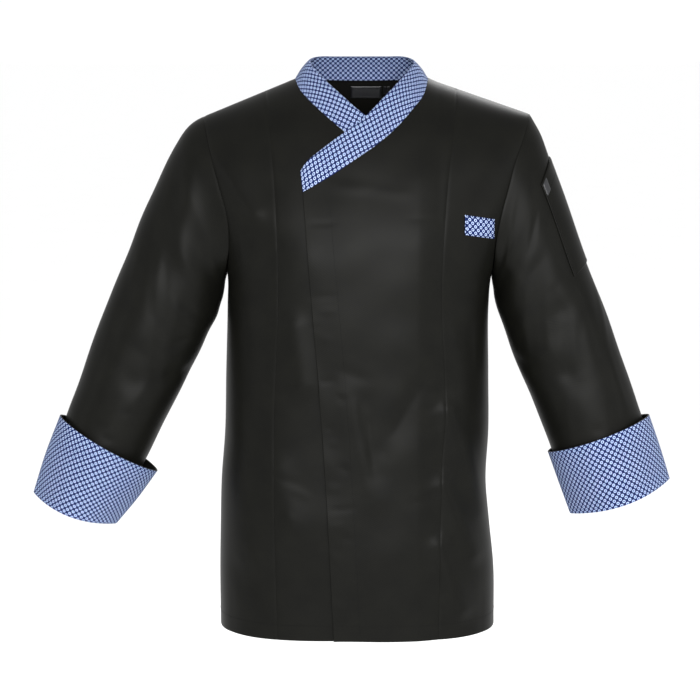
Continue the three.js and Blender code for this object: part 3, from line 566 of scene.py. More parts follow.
def rowPlaces(step):
    # rows from the hem up, close together at the hem and following the armhole above
    lower = size["underarmZ"] - size["hemZ"]
    low = places(lower, step, True, False) * size["lowerRows"] - size["lowerRows"]
    return np.concatenate([low[:-1], np.linspace(0, size["upperRows"], 85)])


def frontLift(x):
    share = (panel["rampTo"] - x) / (panel["rampTo"] - panel["rampFrom"])
    return panel["layerLift"] * np.clip(share, 0, 1)


def frontPanel(side, part):
    # the side piece from side seam to panel seam, or the centre piece from there to its edge
    i = rowPlaces(panel["step"])
    outwards = 1 if side == "left" else -1
    beside = panel["gap"] / 2 * (outwards if part == "side" else -outwards)
    outer, middle = outerPlace(side, i), middlePlace(side, i)
    seam = seamPlace(side, outer, middle, beside)
    start, end = (outer, seam) if part == "side" else (seam, middle)
    x, z = stretchRows("front", start, end, places(200, panel["step"]))
    points, out = bodyPoint("front", x, z)
    if side == "left":
        points = points + out * (frontLift(x) + overlapLift(x, z))[..., None]
    sewn = ["start", "end", "high"] if part == "side" else ["start", "high"]
    points = sewnDip(points, out, sewn, seamDip)
    return points, gridOut(points, False, out)


def backTop(x):
    out = np.abs(x - size["neckCentreX"]) / size["neckHalf"]
    return np.where(out > 1, shoulderHeight(x), size["neckZ"] - size["backNeckDip"] * (1 - out**2))


def backPanel():
    i = rowPlaces(panel["step"])
    ends = [outerPlace(side, i) for side in ("right", "left")]
    tips = [float(armholePlace(side, np.array(14.0))[0]) for side in ("right", "left")]
    neck = [(size["neckCentreX"] + k * size["neckHalf"] - tips[0]) / (tips[1] - tips[0]) for k in (-1, 1)]
    breaks = [0, *neck, 1]
    stretches = []
    for k, length in enumerate((190, 200, 190)):
        shares = upperShare(np.linspace(0, 14, 241)) * (breaks[k + 1] - breaks[k]) + breaks[k]
        x = mix(ends[0][0][:, None], ends[1][0][:, None], shares[None, :])
        top = backTop(mix(tips[0], tips[1], shares))[None, :]
        upper = np.minimum(mix(size["underarmZ"], top, upperShare(np.maximum(i, 0))[:, None]), backTop(x))
        z = np.where(i[:, None] < 0, lowerHeight(i)[:, None], upper)
        path = np.stack([x, clothDepth("back", x, z), z], -1)
        reach = np.cumsum(np.linalg.norm(np.diff(path, axis=1, prepend=path[:, :1]), axis=-1), axis=1)
        goals = places(length, panel["step"], k == 0, k == 2)
        pick = [[np.interp(goals * reach[r, -1], reach[r], a[r]) for a in (x, z)] for r in range(len(x))]
        pick = np.array(pick).transpose(1, 0, 2)
        stretches.append(pick if k == 0 else pick[:, :, 1:])
    x, z = np.concatenate(stretches, axis=2)
    points, out = bodyPoint("back", x, z)
    points = sewnDip(points, out, ["start", "end", "high"], seamDip)
    return points, gridOut(points, False, out)


# Small lift of the top front's free edge, which gapes where the hidden studs pull between
gapes = [(-232, 1.4), (-325, 1.8), (-418, 2.2), (-505, 2.0), (-590, 1.6), (-690, 1.2)]  # z, height


def overlapLift(x, z):
    edge = readColumn(frontEdge, "z", "x", z)
    near = np.exp(-(((x - edge) / 16) ** 2))
    return near * sum(high * np.exp(-(((z - at) / 26) ** 2)) for at, high in gapes)


# The collar: one band from the tip on the left front, round the back neck, to its end under it
collar = {"wall": 1.4, "fold": {"depth": 1.0, "width": 1.3}, "bulge": 3, "overlap": 1.3, "across": 20, "soften": 3.0, "innerScale": 1.19}
collarStations = {
    "round": [0, 0.042, 0.111, 0.188, 0.363, 0.512, 0.668, 0.795, 0.893, 1, 1.06, 1.247, 1.5, 1.753, 1.94, 2, 2.081, 2.161, 2.295, 2.473, 2.639, 2.825, 3],
    "freeX": [-77.5, -72.5, -61, -47, -20, 6, 31, 54, 69, 78, 70, 42, 3, -35, -61, -69, -61, -46, -23.5, 3, 29, 57, 76],
    "freeZ": [-119, -108.5, -99, -88, -68.5, -50, -25, -1, 17, 29, 33.5, 34.5, 34.5, 34.5, 34, 31, 19, 4, -16, -39, -56, -76, -93],
    "freeY": [0, 0, 0, 0, 0, 0, -60, -36, -15, 8, 34, 55, 62, 55, 34, 8, -17, -35, -57, 0, 0, 0, 0],
    "lies": [1, 1, 1, 1, 1, 1, 1, 0.6, 0, 0, 0, 0, 0, 0, 0, 0, 0, 0.6, 1, 1, 1, 1, 1],
    "lift": [1, 1, 1, 1, 1, 1, 1, 1, 0.9, 0.6, 0.3, 0, 0, 0, 0, 0, 0, 0, 0, 0, 0, 0, 0],
}
# which way the printed cloth runs along the band, in degrees, cut in one curved piece
collarGrain = {"round": [0, 0.4, 0.7, 1, 1.2, 1.8, 2, 2.3, 2.6, 3], "turn": [0, 6, 20, 38, 45, 45, 52, 70, 84, 90]}


def collarSeam(count):
    # the three necklines in turn, as points on the cloth that the band is sewn to
    at, rounds = [], []
    for part in range(3):
        share = np.linspace(0, 1, count)[(0 if part == 0 else 1):]
        if part == 1:
            fine = size["neckCentreX"] + size["neckHalf"] * (1 - 2 * np.linspace(0, 1, 200))
            path, _ = bodyPoint("back", fine, backTop(fine))
            reach = np.concatenate([[0], np.cumsum(np.linalg.norm(np.diff(path, axis=0), axis=1))])
            points = np.stack([np.interp(share * reach[-1], reach, path[:, k]) for k in range(3)], -1)
        else:
            side = "left" if part == 0 else "right"
            x, z = necklinePlace(side, 1 - share if part == 0 else share)
            points, out = bodyPoint("front", x, z)
            if side == "left":
                points = points + out * frontLift(x)[:, None]
        at.append(points)
        rounds.append(share + part)
    return np.concatenate(at), np.concatenate(rounds)


def smoothAlong(points, amount):
    # evens out the corners along the band, but not at its ends
    reach = int(3 * amount)
    kernel = np.exp(-0.5 * (np.arange(-reach, reach + 1) / amount) ** 2)
    kernel /= kernel.sum()
    mirrored = 2 * points[:1] - points[reach:0:-1], points, 2 * points[-1:] - points[-2 : -reach - 2 : -1]
    padded = np.concatenate(mirrored)
    return np.stack([np.convolve(padded[:, k], kernel, "valid") for k in range(3)], -1)


def collarBand():
    at, rounds = collarSeam(90)
    station = {f: readColumn(collarStations, "round", f, rounds) for f in collarStations if f != "round"}
    lift = (panel["layerLift"] * station["lift"])[:, None]
    lies = station["lies"][:, None]
    lying, lyingOut = bodyPoint("front", station["freeX"], station["freeZ"])
    free = np.stack([station["freeX"], station["freeY"], station["freeZ"]], -1)
    free = mix(free, lying + lyingOut * lift, lies)
    start = at - unit(free - at) * collar["overlap"]
    lines = []
    for share in places(34, 34 / collar["across"]):
        stands = mix(start, free, share)
        outwards = np.stack([stands[:, 0] - size["neckCentreX"], stands[:, 1] - 10, stands[:, 0] * 0], -1)
        stands = stands + unit(outwards) * collar["bulge"] * 4 * share * (1 - share)
        place = mix(start, free, share)
        onBody, onBodyOut = bodyPoint("front", place[:, 0], place[:, 2])
        line = mix(stands, onBody + onBodyOut * lift, lies) if share > 0 else start
        soft = smoothAlong(line, collar["soften"])
        lines.append(mix(line, soft, min(1, share * 4)))
    points = np.array(lines)
    out = gridOut(points, False, np.array([0, -1, 0.2]))
    points = sewnDip(points, out, ["high", "start", "end"], collar["fold"])
    return sewnDip(points, out, ["low"], seamDip), out, rounds


def collarUv(points, rounds):
    # lays the band flat: its middle line turns with the grain
    middle = points[points.shape[0] // 2]
    step = np.linalg.norm(np.diff(middle, axis=0), axis=1)
    turn = np.radians(readColumn(collarGrain, "round", "turn", rounds))
    heading = np.stack([np.cos(turn), np.sin(turn)], -1)
    line = np.concatenate([[[0, 0]], np.cumsum(step[:, None] * (heading[1:] + heading[:-1]) / 2, 0)])
    up = np.cumsum(np.linalg.norm(np.diff(points, axis=0, prepend=points[:1]), axis=-1), axis=0)
    across = np.stack([-heading[:, 1], heading[:, 0]], -1)
    return line[None] + (up - up[len(up) // 2])[..., None] * across[None]


# Sleeves: sections from the armhole to the wrist. Turn 0 is the underarm, 90 the front
sleeve = {
    "wall": 0.9,
    "step": 4.2,
    "gap": 0.3,
    "armholeFade": 100,
    "perTurn": 1.15,  # millimetres for each degree
    "length": {"left": 524, "right": 530},
    "cuffInset": 2.4,
    "pressedFrom": 110,
}
sleeveSections = {
    "left": {
        "along": [0, 12, 30, 62, 105, 165, 235, 305, 370, 435, 480],
        "outerX": [235, 242.5, 250, 262, 278, 300, 325.5, 350, 374, 396, 414],
        "outerZ": [-44, -57, -71, -102, -144, -204, -272, -339, -402, -463, -508],
        "innerX": [184.5, 185.1, 186, 187.3, 189.5, 194, 206, 226, 248, 271, 285],
        "innerZ": [-262, -267, -274, -284, -298, -318, -350, -398, -452, -513, -557],
        "far": [0, 0, 0, -1, -2, -4, -7, -10, -14, -17, -18],
        "deep": [66, 66, 66, 66, 65, 64, 62, 61, 60, 60, 60],
    },
    "right": {
        "along": [0, 12, 30, 62, 105, 165, 235, 305, 370, 435, 485],
        "outerX": [212, 224, 236, 251, 273, 302, 332, 361, 387, 408.5, 429],
        "outerZ": [-48, -54, -64, -87, -128, -192, -265, -338, -406, -466, -517],
        "innerX": [181.5, 183, 185, 187, 190, 199, 217, 242, 269, 299, 321],
        "innerZ": [-262, -267, -274, -285, -302, -327, -364, -412, -468, -526, -572],
        "far": [0, 0, 0, -1, -2, -4, -7, -10, -13, -15, -16],
        "deep": [64, 64, 65, 66, 66, 65, 63, 61, 59, 57, 57],
    },
}

sleeveFolds = {
    "left": [
        (60, 62, 215, 52, 2.4, 20),
        (150, 88, 260, 70, -2.4, 20),
        (245, 95, 345, 84, -2.4, 20),
        (225, 128, 400, 128, 2.4, 22),
        (290, 20, 330, 80, -2.4, 16),
        (90, 262, 250, 285, -2.4, 22),
        (280, 320, 340, 250, -2.4, 18),
    ],
    "right": [
        (45, 118, 130, 92, 2.4, 18),
        (150, 100, 300, 70, -2.4, 20),
        (190, 62, 300, 45, -2.4, 17),
        (300, 92, 405, 105, -2.4, 20),
        (290, 20, 335, 82, -2.8, 16),
        (90, 258, 240, 290, -2.4, 22),
        (285, 330, 340, 255, -2.4, 18),
    ],
}

# Turned-back cuffs: the free edge above and the fold below
cuff = {"wall": 1.8, "rise": 5, "foot": 4, "step": 3.4, "grain": 45, "pressedTop": 0.25, "pressedFold": 0.88}
cuffSections = {
    "left": {
        "down": [0, 0.5, 1],
        "outerX": [405.5, 421.5, 436],
        "outerZ": [-460.5, -505.5, -550.5],
        "innerX": [265, 281, 297],
        "innerZ": [-513.5, -557.5, -600.5],
        "far": [-17, -18, -19],
        "deep": [66, 65, 63],
    },
    "right": {
        "down": [0, 0.5, 1],
        "outerX": [416, 437.5, 455.5],
        "outerZ": [-461.5, -515.5, -570.5],
        "innerX": [281.5, 309.5, 339.5],
        "innerZ": [-541, -579.5, -615.5],
        "far": [-16, -16.5, -17],
        "deep": [66, 63, 60],
    },
}


def sectionAt(table, key, at):
    return {field: readColumn(table, key, field, at) for field in table}


def wristSection(side):
    fold = {field: values[-1] for field, values in cuffSections[side].items()}
    inset = sleeve["cuffInset"]
    across = np.array([fold["outerX"] - fold["innerX"], fold["outerZ"] - fold["innerZ"]])
    ax, az = across / np.linalg.norm(across)
    return {
        "along": sleeve["length"][side],
        "outerX": fold["outerX"] - (ax + az) * inset,
        "outerZ": fold["outerZ"] + (ax - az) * inset,
        "innerX": fold["innerX"] + (ax - az) * inset,
        "innerZ": fold["innerZ"] + (ax + az) * inset,
        "far": fold["far"],
        "deep": fold["deep"] - inset,
    }


def ringPlace(row, side, turn):
    angle = np.radians(turn)
    share = (1 - np.cos(angle)) / 2
    x = mix(row["innerX"], row["outerX"], share) * (1 if side == "left" else -1)
    z = mix(row["innerZ"], row["outerZ"], share)
    return np.stack(np.broadcast_arrays(x, row["far"] - row["deep"] * np.sin(angle), z), -1)


def armholePoint(side, turn):
    # the armhole's curve, up the front and down the back
    turn = np.asarray(turn, float) % 360
    i = size["upperRows"] * np.where(turn <= 180, turn, 360 - turn) / 180
    x, z = armholePlace(side, i)
    front, frontOut = bodyPoint("front", x, z)
    rear, rearOut = bodyPoint("back", x, z)
    isFront = (turn <= 180)[..., None]
    at, out = np.where(isFront, front, rear), np.where(isFront, frontOut, rearOut)
    atPlane = (i < 0.01) | (i > size["upperRows"] - 0.01)
    at[..., 1] = np.where(atPlane, 0, at[..., 1])
    out[..., 1] = np.where(atPlane, 0, out[..., 1])
    return at, unit(out)


def sleevePlace(side, along, turn):
    wrist = wristSection(side)
    table = {field: list(values) + [wrist[field]] for field, values in sleeveSections[side].items()}
    place = ringPlace(sectionAt(table, "along", along), side, turn)
    top = ringPlace({field: values[0] for field, values in table.items()}, side, turn)
    fade = np.clip(1 - along / sleeve["armholeFade"], 0, 1) ** 2
    place = place + (armholePoint(side, turn)[0] - top) * np.asarray(fade)[..., None]
    # pressed flatter towards the wrist, inside the cuff
    near = np.clip(1 - (sleeve["length"][side] - along) / sleeve["pressedFrom"], 0, 1)
    far = sectionAt({"along": table["along"], "far": table["far"]}, "along", along)["far"]
    flatter = mix(1, np.abs(np.sin(np.radians(turn))), cuff["pressedFold"] * 1.05 * near)
    place[..., 1] = far + (place[..., 1] - far) * flatter
    return place


def sleevePoint(side, along, turn):
    end = sleeve["length"][side]
    along, turn = np.broadcast_arrays(np.asarray(along, float), np.asarray(turn, float))
    down = sleevePlace(side, np.minimum(end, along + 4), turn) - sleevePlace(side, np.maximum(0, along - 4), turn)
    around = sleevePlace(side, along, turn + 4) - sleevePlace(side, along, turn - 4)
    out = unit(np.cross(down, around)) * (1 if side == "left" else -1)
    per = sleeve["perTurn"]
    place = (turn % 360) * per
    folds = 0
    for p0, q0, p1, q1, height, width in sleeveFolds[side]:
        folds = folds + softFold((p0, q0 * per, p1, q1 * per, height, width), along, place)
    for p0, q0, p1, q1, height, width, bow in creases["sleeve" + side.capitalize()]:
        folds = folds + crease((p0, q0 * per, p1, q1 * per, height, width, bow), along, place)
    wave = unevenness(along, 66 * np.sin(np.radians(turn)), 5 if side == "left" else 6, 0.8)
    fadeIn = np.minimum(1, along / 60) * np.clip((end - along) / 90, 0, 1)
    return sleevePlace(side, along, turn) + out * ((folds + wave) * fadeIn)[..., None], out


def sleeveTube(side):
    along = places(sleeve["length"][side], sleeve["step"]) * sleeve["length"][side]
    turn = np.linspace(0, 360, 97)[:-1]
    points, out = sleevePoint(side, along[:, None], turn[None, :])
    top, topOut = armholePoint(side, turn)
    smooth = np.clip(((1 - np.cos(np.radians(turn))) / 2 - 0.1) / 0.35, 0, 1)[:, None]
    points[0] = top
    points[0, :, 0] += sleeve["gap"] * (1 if side == "left" else -1)
    points = sewnDip(points, out, ["low"], seamDip)
    out = gridOut(points, True, out)
    out[0] = unit(mix(out[1], topOut, smooth))
    return points, out


def cuffRing(side, turn, down, inset):
    # one ring of the cuff, moved in by inset, with its soft waves
    row = sectionAt(cuffSections[side], "down", np.array(float(np.clip(down, 0, 1))))
    shrink = inset / math.hypot(row["outerX"] - row["innerX"], row["outerZ"] - row["innerZ"])
    inwards = dict(row, deep=row["deep"] - inset)
    for axis in "XZ":
        inwards["outer" + axis] = mix(row["outer" + axis], row["inner" + axis], shrink)
        inwards["inner" + axis] = mix(row["inner" + axis], row["outer" + axis], shrink)
    place = ringPlace(inwards, side, turn)
    pressed = mix(cuff["pressedTop"], cuff["pressedFold"], down)
    place[:, 1] = row["far"] + (place[:, 1] - row["far"]) * mix(1, np.abs(np.sin(np.radians(turn))), pressed)
    place[:, 2] += cuff["rise"] * np.sin(np.radians(turn)) * (1 - down)
    outwards = unit(place - place.mean(0))
    waves = np.zeros(len(turn))
    for where, wide, high, at, tall in creases["cuff" + side.capitalize()]:
        aside = ((turn - where + 180) % 360 - 180) / wide
        waves = waves + high * np.exp(-(aside**2) - ((down - at) / tall) ** 2)
    return place + outwards * (waves * np.clip((1 - down) / 0.15, 0, 1))[:, None]


def cuffTube(side):
    # rings from the free edge down the outer cloth, round the fold and up its inside again
    turn = np.linspace(0, 360, 121)[:-1]
    ends = [cuffRing(side, turn, down, 0).mean(0) for down in (0, 1)]
    height = np.linalg.norm(ends[0] - ends[1])
    along = ringPlace(sectionAt(cuffSections[side], "down", np.array(1.0)), side, turn).mean(0) - ends[0]
    along = along / np.linalg.norm(along)
    wall, foot = cuff["wall"], cuff["foot"]
    downs = places(height, cuff["step"])
    profile = [(down, 0, 0) for down in downs]
    profile += [(1, 0.5, 0.7), (1, foot / 2, 1.0), (1, foot - 0.5, 0.7), (1, foot, 0)]
    profile += [(1 - wall / height, foot, 0), (1 - wall / height, wall, 0)]
    profile += [(down, wall, 0) for down in downs[::-1] if down < 1 - 1.5 * wall / height]
    profile += [(0, 0.8 * wall, -0.5), (0, wall / 2, -0.7), (0, 0.2 * wall, -0.5)]
    rings = [cuffRing(side, turn, down, inset) + along * drop for down, inset, drop in profile]
    return np.array(rings), len(downs) + 3


def addCuff(name, rings, printedRings):
    # the rings close on themselves both ways: printed outside, plain twill inside and at the top edge
    count, turns = rings.shape[:2]
    k, c = (a.ravel() for a in np.meshgrid(np.arange(count), np.arange(turns), indexing="ij"))
    quad = [(k, c), (k, c + 1), (k + 1, c + 1), (k + 1, c)]
    faces = np.stack([(a % count) * turns + b % turns for a, b in quad], -1)
    closed = np.concatenate([rings, rings[:, :1]], 1)
    closed = np.concatenate([closed, closed[:1]], 0)
    uv = turned(clothUv(closed), cuff["grain"])
    faceUv = np.stack([uv[a, b] for a, b in quad], 1)
    corners = rings.reshape(-1, 3)
    a, b, c, d = (corners[faces[:, n]] for n in range(4))
    if np.sum(a * (np.cross(b, c) + np.cross(c, d))) < 0:
        faces, faceUv = faces[:, ::-1], faceUv[:, ::-1]
    piece = addMesh(name, corners, faces, printedCotton, faceUv)
    piece.data.materials.append(blackTwill)
    piece.data.polygons.foreach_set("material_index", (k >= printedRings).astype(np.int32))
    return piece


# Materials. Lengths in the patterns are millimetres of cloth
def newMaterial(name):
    material = bpy.data.materials.new(name)
    material.use_nodes = True
    return material, material.node_tree, material.node_tree.nodes["Principled BSDF"]


def setShader(shader, settings):
    for name, value in settings.items():
        shader.inputs[name].default_value = value


def addWeave(tree, shader, weave):
    # fine diagonal ribs with a little fuzz between them, as relief
    place = addNode(tree, "TexCoord")
    turned = addNode(
        tree,
        "Mapping",
        {"Rotation": (0, 0, math.radians(weave["slope"])), "Scale": (1 / weave["wale"],) * 3},
        {"Vector": (place, "UV")},
    )
    ribs = addNode(tree, "TexWave", {"Scale": math.pi / 10, "Distortion": 0.6, "Detail": 1.0}, {"Vector": (turned, 0)})
    fuzz = addNode(tree, "TexNoise", {"Scale": weave["fuzz"], "Detail": 3.0}, {"Vector": (place, "UV")})
    height = addNode(tree, "Math", {"operation": "MULTIPLY_ADD", 1: 0.6}, {0: (fuzz, "Fac"), 2: (ribs, "Fac")})
    settings = {"Strength": weave["strength"], "Distance": weave["relief"]}
    bump = addNode(tree, "Bump", settings, {"Height": (height, 0)})
    tree.links.new(bump.outputs["Normal"], shader.inputs["Normal"])


# Piece-dyed polyester and cotton twill, calendered: black, with a faint satin sheen
twill = {
    "deep": "#070706",
    "worn": "#0f0f0c",
    "patch": 1 / 38,  # variation of the dye, one over its size
    "weave": {"wale": 2.4, "slope": 62, "fuzz": 1.1, "strength": 0.14, "relief": 0.0003},  # drawn coarser than 0.8 mm
}


def makeTwill():
    material, tree, shader = newMaterial("black poly-cotton twill")
    place = addNode(tree, "TexCoord")
    patches = addNode(tree, "TexNoise", {"Scale": twill["patch"], "Detail": 4.0}, {"Vector": (place, "UV")})
    colour = addNode(
        tree,
        "Mix",
        {"data_type": "RGBA", 6: linear(twill["deep"]), 7: linear(twill["worn"])},
        {"Factor": (patches, "Fac")},
    )
    tree.links.new(colour.outputs[2], shader.inputs["Base Color"])
    setShader(
        shader,
        {
            "Roughness": 0.45,
            "IOR": 1.25,  # below cotton's 1.46, which paled the edges
            "Specular IOR Level": 0.2,
        },
    )
    addWeave(tree, shader, twill["weave"])
    return material


# Screen-printed cotton poplin: navy ground, pale rings with small navy centres on a square lattice
printed = {
    "pitch": 6.05,
    "ground": "#081742",
    "ring": "#a3b3d3",
    "ringOuter": 0.345,  # shares of the pitch
    "ringInner": 0.195,
    "soft": 0.035,
    "weave": {"wale": 0.9, "slope": 0, "fuzz": 1.6, "strength": 0.2, "relief": 0.0002},
}


def makePrint():
    material, tree, shader = newMaterial("printed cotton poplin")
    place = addNode(tree, "TexCoord")
    cells = addNode(tree, "Mapping", {"Scale": (1 / printed["pitch"],) * 3}, {"Vector": (place, "UV")})
    wobble = addNode(tree, "TexNoise", {"Scale": 1.3, "Detail": 1.0}, {"Vector": (cells, 0)})
    inCell = addNode(tree, "VectorMath", {"operation": "FRACTION"}, {0: (cells, 0)})
    centred = addNode(tree, "VectorMath", {"operation": "SUBTRACT", 1: (0.5, 0.5, 0)}, {0: (inCell, 0)})
    flat = addNode(tree, "VectorMath", {"operation": "MULTIPLY", 1: (1, 1, 0)}, {0: (centred, 0)})
    distance = addNode(tree, "VectorMath", {"operation": "LENGTH"}, {0: (flat, 0)})
    shifted = addNode(tree, "Math", {"operation": "MULTIPLY_ADD", 1: 0.04}, {0: (wobble, "Fac"), 2: (distance, "Value")})
    whole = addNode(tree, "VectorMath", {"operation": "FLOOR"}, {0: (cells, 0)})
    chance = addNode(tree, "TexWhiteNoise", {"noise_dimensions": "2D"}, {"Vector": (whole, 0)})
    ramp = addNode(tree, "ValToRGB", None, {"Fac": (shifted, 0)})
    stops = ramp.color_ramp
    inner, outer, soft = printed["ringInner"] + 0.02, printed["ringOuter"] + 0.02, printed["soft"]
    spots = [(inner - soft, 0), (inner + soft, 1), (outer - soft, 1), (outer + soft, 0)]
    while len(stops.elements) < len(spots):
        stops.elements.new(0.5)
    for element, (at, isRing) in zip(stops.elements, spots):
        element.position = at
        element.color = (isRing, isRing, isRing, 1)
    filled = addNode(tree, "Math", {"operation": "LESS_THAN", 1: outer - soft}, {0: (shifted, 0)})
    amount = addNode(tree, "Math", {"operation": "MULTIPLY", "use_clamp": True}, {0: (chance, "Value"), 1: (filled, 0)})
    most = addNode(tree, "Math", {"operation": "MULTIPLY", 1: 0.2}, {0: (amount, 0)})
    ring = addNode(tree, "Math", {"operation": "MAXIMUM"}, {0: (ramp, "Color"), 1: (most, 0)})
    colour = addNode(
        tree,
        "Mix",
        {"data_type": "RGBA", 6: linear(printed["ground"]), 7: linear(printed["ring"])},
        {"Factor": (ring, 0)},
    )
    tree.links.new(colour.outputs[2], shader.inputs["Base Color"])
    setShader(shader, {"Roughness": 0.75, "IOR": 1.46, "Specular IOR Level": 0.1})
    addWeave(tree, shader, printed["weave"])
    return material


# Woven polyester satin label: charcoal, smoother than the twill round it
def makeSatin():
    material, tree, shader = newMaterial("woven satin label")
    place = addNode(tree, "TexCoord")
    patches = addNode(tree, "TexNoise", {"Scale": 0.9, "Detail": 2.0}, {"Vector": (place, "UV")})
    colour = addNode(
        tree,
        "Mix",
        {"data_type": "RGBA", 6: linear("#0e0f11"), 7: linear("#15161a")},
        {"Factor": (patches, "Fac")},
    )
    tree.links.new(colour.outputs[2], shader.inputs["Base Color"])
    setShader(shader, {"Roughness": 0.42, "IOR": 1.5, "Specular IOR Level": 0.45})
    addWeave(tree, shader, {"wale": 0.7, "slope": 0, "fuzz": 2.0, "strength": 0.2, "relief": 0.0001})
    return material


# Spun polyester sewing thread, black, twisted and slightly shiny
def makeThread():
    material, tree, shader = newMaterial("black sewing thread")
    place = addNode(tree, "TexCoord")
    twist = addNode(tree, "TexNoise", {"Scale": 900.0, "Detail": 1.0}, {"Vector": (place, "Object")})
    colour = addNode(
        tree,
        "Mix",
        {"data_type": "RGBA", 6: linear("#050505"), 7: linear("#0a0a0a")},
        {"Factor": (twist, "Fac")},
    )
    tree.links.new(colour.outputs[2], shader.inputs["Base Color"])
    setShader(shader, {"Roughness": 0.8, "IOR": 1.5, "Specular IOR Level": 0.1})
    return material


blackTwill, printedCotton, satin, blackThread = makeTwill(), makePrint(), makeSatin(), makeThread()
print("materials made")


# Body panels
pieces, laid = {}, {}
for side in ("left", "right"):
    for part in ("centre", "side"):
        points, out = frontPanel(side, part)
        name = f"front_{side}_{part}"
        laid[name] = points, out
        pieces[name] = addShell("cloth_" + name, points, out, panel["wall"], clothUv(points), blackTwill)
points, out = laid["back"] = backPanel()
pieces["back"] = addShell("cloth_back", points, out, panel["wall"], clothUv(points), blackTwill)
print("body panels made")

# Sleeves and cuffs
for side in ("left", "right"):
    points, out = sleeveTube(side)
    name = "sleeve_" + side
    pieces[name] = addShell("cloth_" + name, points, out, sleeve["wall"], clothUv(points, True), blackTwill, True)
    pieces["cuff_" + side] = addCuff("cloth_cuff_" + side, *cuffTube(side))
print("sleeves and cuffs made")

# Collar
points, out, rounds = collarBand()
uv = collarUv(points, rounds)
inner = np.stack([points[..., 0], clothUv(points)[..., 1]], -1)  # the back stand's own straight piece
inner = turned(inner, 45) * collar["innerScale"]
pieces["collar"] = addShell("cloth_collar", points, out, collar["wall"], uv, printedCotton, False, inner)
print("collar made")


# Small pieces, each laid on the cloth that carries it
chestTab = {"lowX": 141.5, "highX": 182, "lowZ": -202, "highZ": -175.5, "slope": -0.18, "lift": 1.2, "wall": 1.2}
penPocket = {"fromAlong": 63, "toAlong": 208, "fromTurn": 128, "toTurn": 186, "lift": 1.1, "wall": 1.0}
pocketLabel = {"fromAlong": 65, "toAlong": 86, "fromTurn": 129, "toTurn": 139, "lift": 2.3, "wall": 0.6}
neckLabel = {"middleX": 11, "width": 44, "topZ": -7, "tall": 17, "inside": 2.4, "wall": 0.8}
sizeTab = {"middleX": 40, "width": 9, "topZ": -7, "tall": 11, "inside": 2.4, "wall": 0.8}


def addPatch(name, points, out, lift, wall, uv, material):
    # a laid-on piece: its edges turn down to the cloth below
    down = sewnDip(points, out, ["start", "end", "low", "high"], {"depth": lift * 0.6, "width": 1.4})
    return addShell(name, down + out * (lift + wall), out, wall, uv, material)


def bodyPatch(face, lowX, highX, lowZ, highZ, slope):
    x = mix(lowX, highX, places(highX - lowX, 1.6))[None, :]
    z = mix(lowZ, highZ, places(highZ - lowZ, 1.6))[:, None] + slope * (x - lowX)
    x, z = np.broadcast_arrays(x, z)
    return bodyPoint(face, x, z)


tab = chestTab
points, out = bodyPatch("front", tab["lowX"], tab["highX"], tab["lowZ"], tab["highZ"], tab["slope"])
laid["chest_tab"] = points + out * (tab["lift"] + tab["wall"]), out
pieces["chest_tab"] = addPatch(
    "cloth_chest_tab", points, out, tab["lift"], tab["wall"], turned(clothUv(points), 45), printedCotton
)
for node, label in (("neck_label", neckLabel), ("size_tab", sizeTab)):
    half = label["width"] / 2
    low, high = label["topZ"] - label["tall"], label["topZ"]
    points, out = bodyPatch("back", label["middleX"] - half, label["middleX"] + half, low, high, 0)
    pieces[node] = addPatch("cloth_" + node, points, -out, label["inside"], label["wall"], clothUv(points), satin)


def sleevePatch(patch):
    along = mix(patch["fromAlong"], patch["toAlong"], places(patch["toAlong"] - patch["fromAlong"], 3))
    around = (patch["toTurn"] - patch["fromTurn"]) * sleeve["perTurn"]
    turn = mix(patch["fromTurn"], patch["toTurn"], places(around, 2))
    return sleevePoint("left", along[:, None], turn[None, :])


for node, patch, material in (("pen_pocket", penPocket, blackTwill), ("pocket_label", pocketLabel, satin)):
    points, out = sleevePatch(patch)
    laid[node] = points + out * (patch["lift"] + patch["wall"]), out
    pieces[node] = addPatch("cloth_" + node, points, out, patch["lift"], patch["wall"], clothUv(points), material)
print("small pieces made")

# Topstitching: hem, placket, pocket and tab
thread = {"long": 3.0, "gap": 1.0, "thick": 0.42}
stitchLines = {"hemUp": 20, "placketIn": 36, "placketRows": 5.5, "edge": 2, "pocketTop": 20}


def stitchRow(name, node, height):
    points, out = laid[node]
    up = clothUv(points)[:, points.shape[1] // 2, 1]
    row = int(np.argmin(np.abs(up - height)))
    return addStitches(name, points[row], out[row], thread, blackThread)


def stitchRound(name, node, corners):
    # a little inside the edge of a laid-on piece; corners are picked from its four
    points, out = laid[node]
    k = stitchLines["edge"]
    inside = points[k:-k, k:-k], out[k:-k, k:-k]
    sides = {"start": lambda a: a[:, 0], "high": lambda a: a[-1], "end": lambda a: a[::-1, -1], "low": lambda a: a[0, ::-1]}
    path, up = (np.concatenate([sides[side](part) for side in corners]) for part in inside)
    return addStitches(name, path, up, thread, blackThread)


stitches = [stitchRow("stitch_hem_" + node, node, stitchLines["hemUp"]) for node in list(laid) if node.startswith(("front", "back"))]
points, out = laid["front_left_centre"]
rows = rowPlaces(panel["step"]) < stitchLines["placketRows"]
path, up = [], []
for line, lineOut in zip(points[rows], out[rows]):
    reach = np.concatenate([[0], np.cumsum(np.linalg.norm(np.diff(line, axis=0), axis=1))])
    at = reach[-1] - stitchLines["placketIn"]
    path.append([np.interp(at, reach, line[:, k]) for k in range(3)])
    up.append([np.interp(at, reach, lineOut[:, k]) for k in range(3)])
stitches.append(addStitches("stitch_placket", np.array(path), np.array(up), thread, blackThread))
stitches.append(stitchRound("stitch_pen_pocket", "pen_pocket", ["start", "high", "end"]))
stitches.append(stitchRow("stitch_pocket_top", "pen_pocket", stitchLines["pocketTop"]))
stitches.append(stitchRound("stitch_chest_tab", "chest_tab", ["start", "high", "end", "low"]))
print("topstitching made")

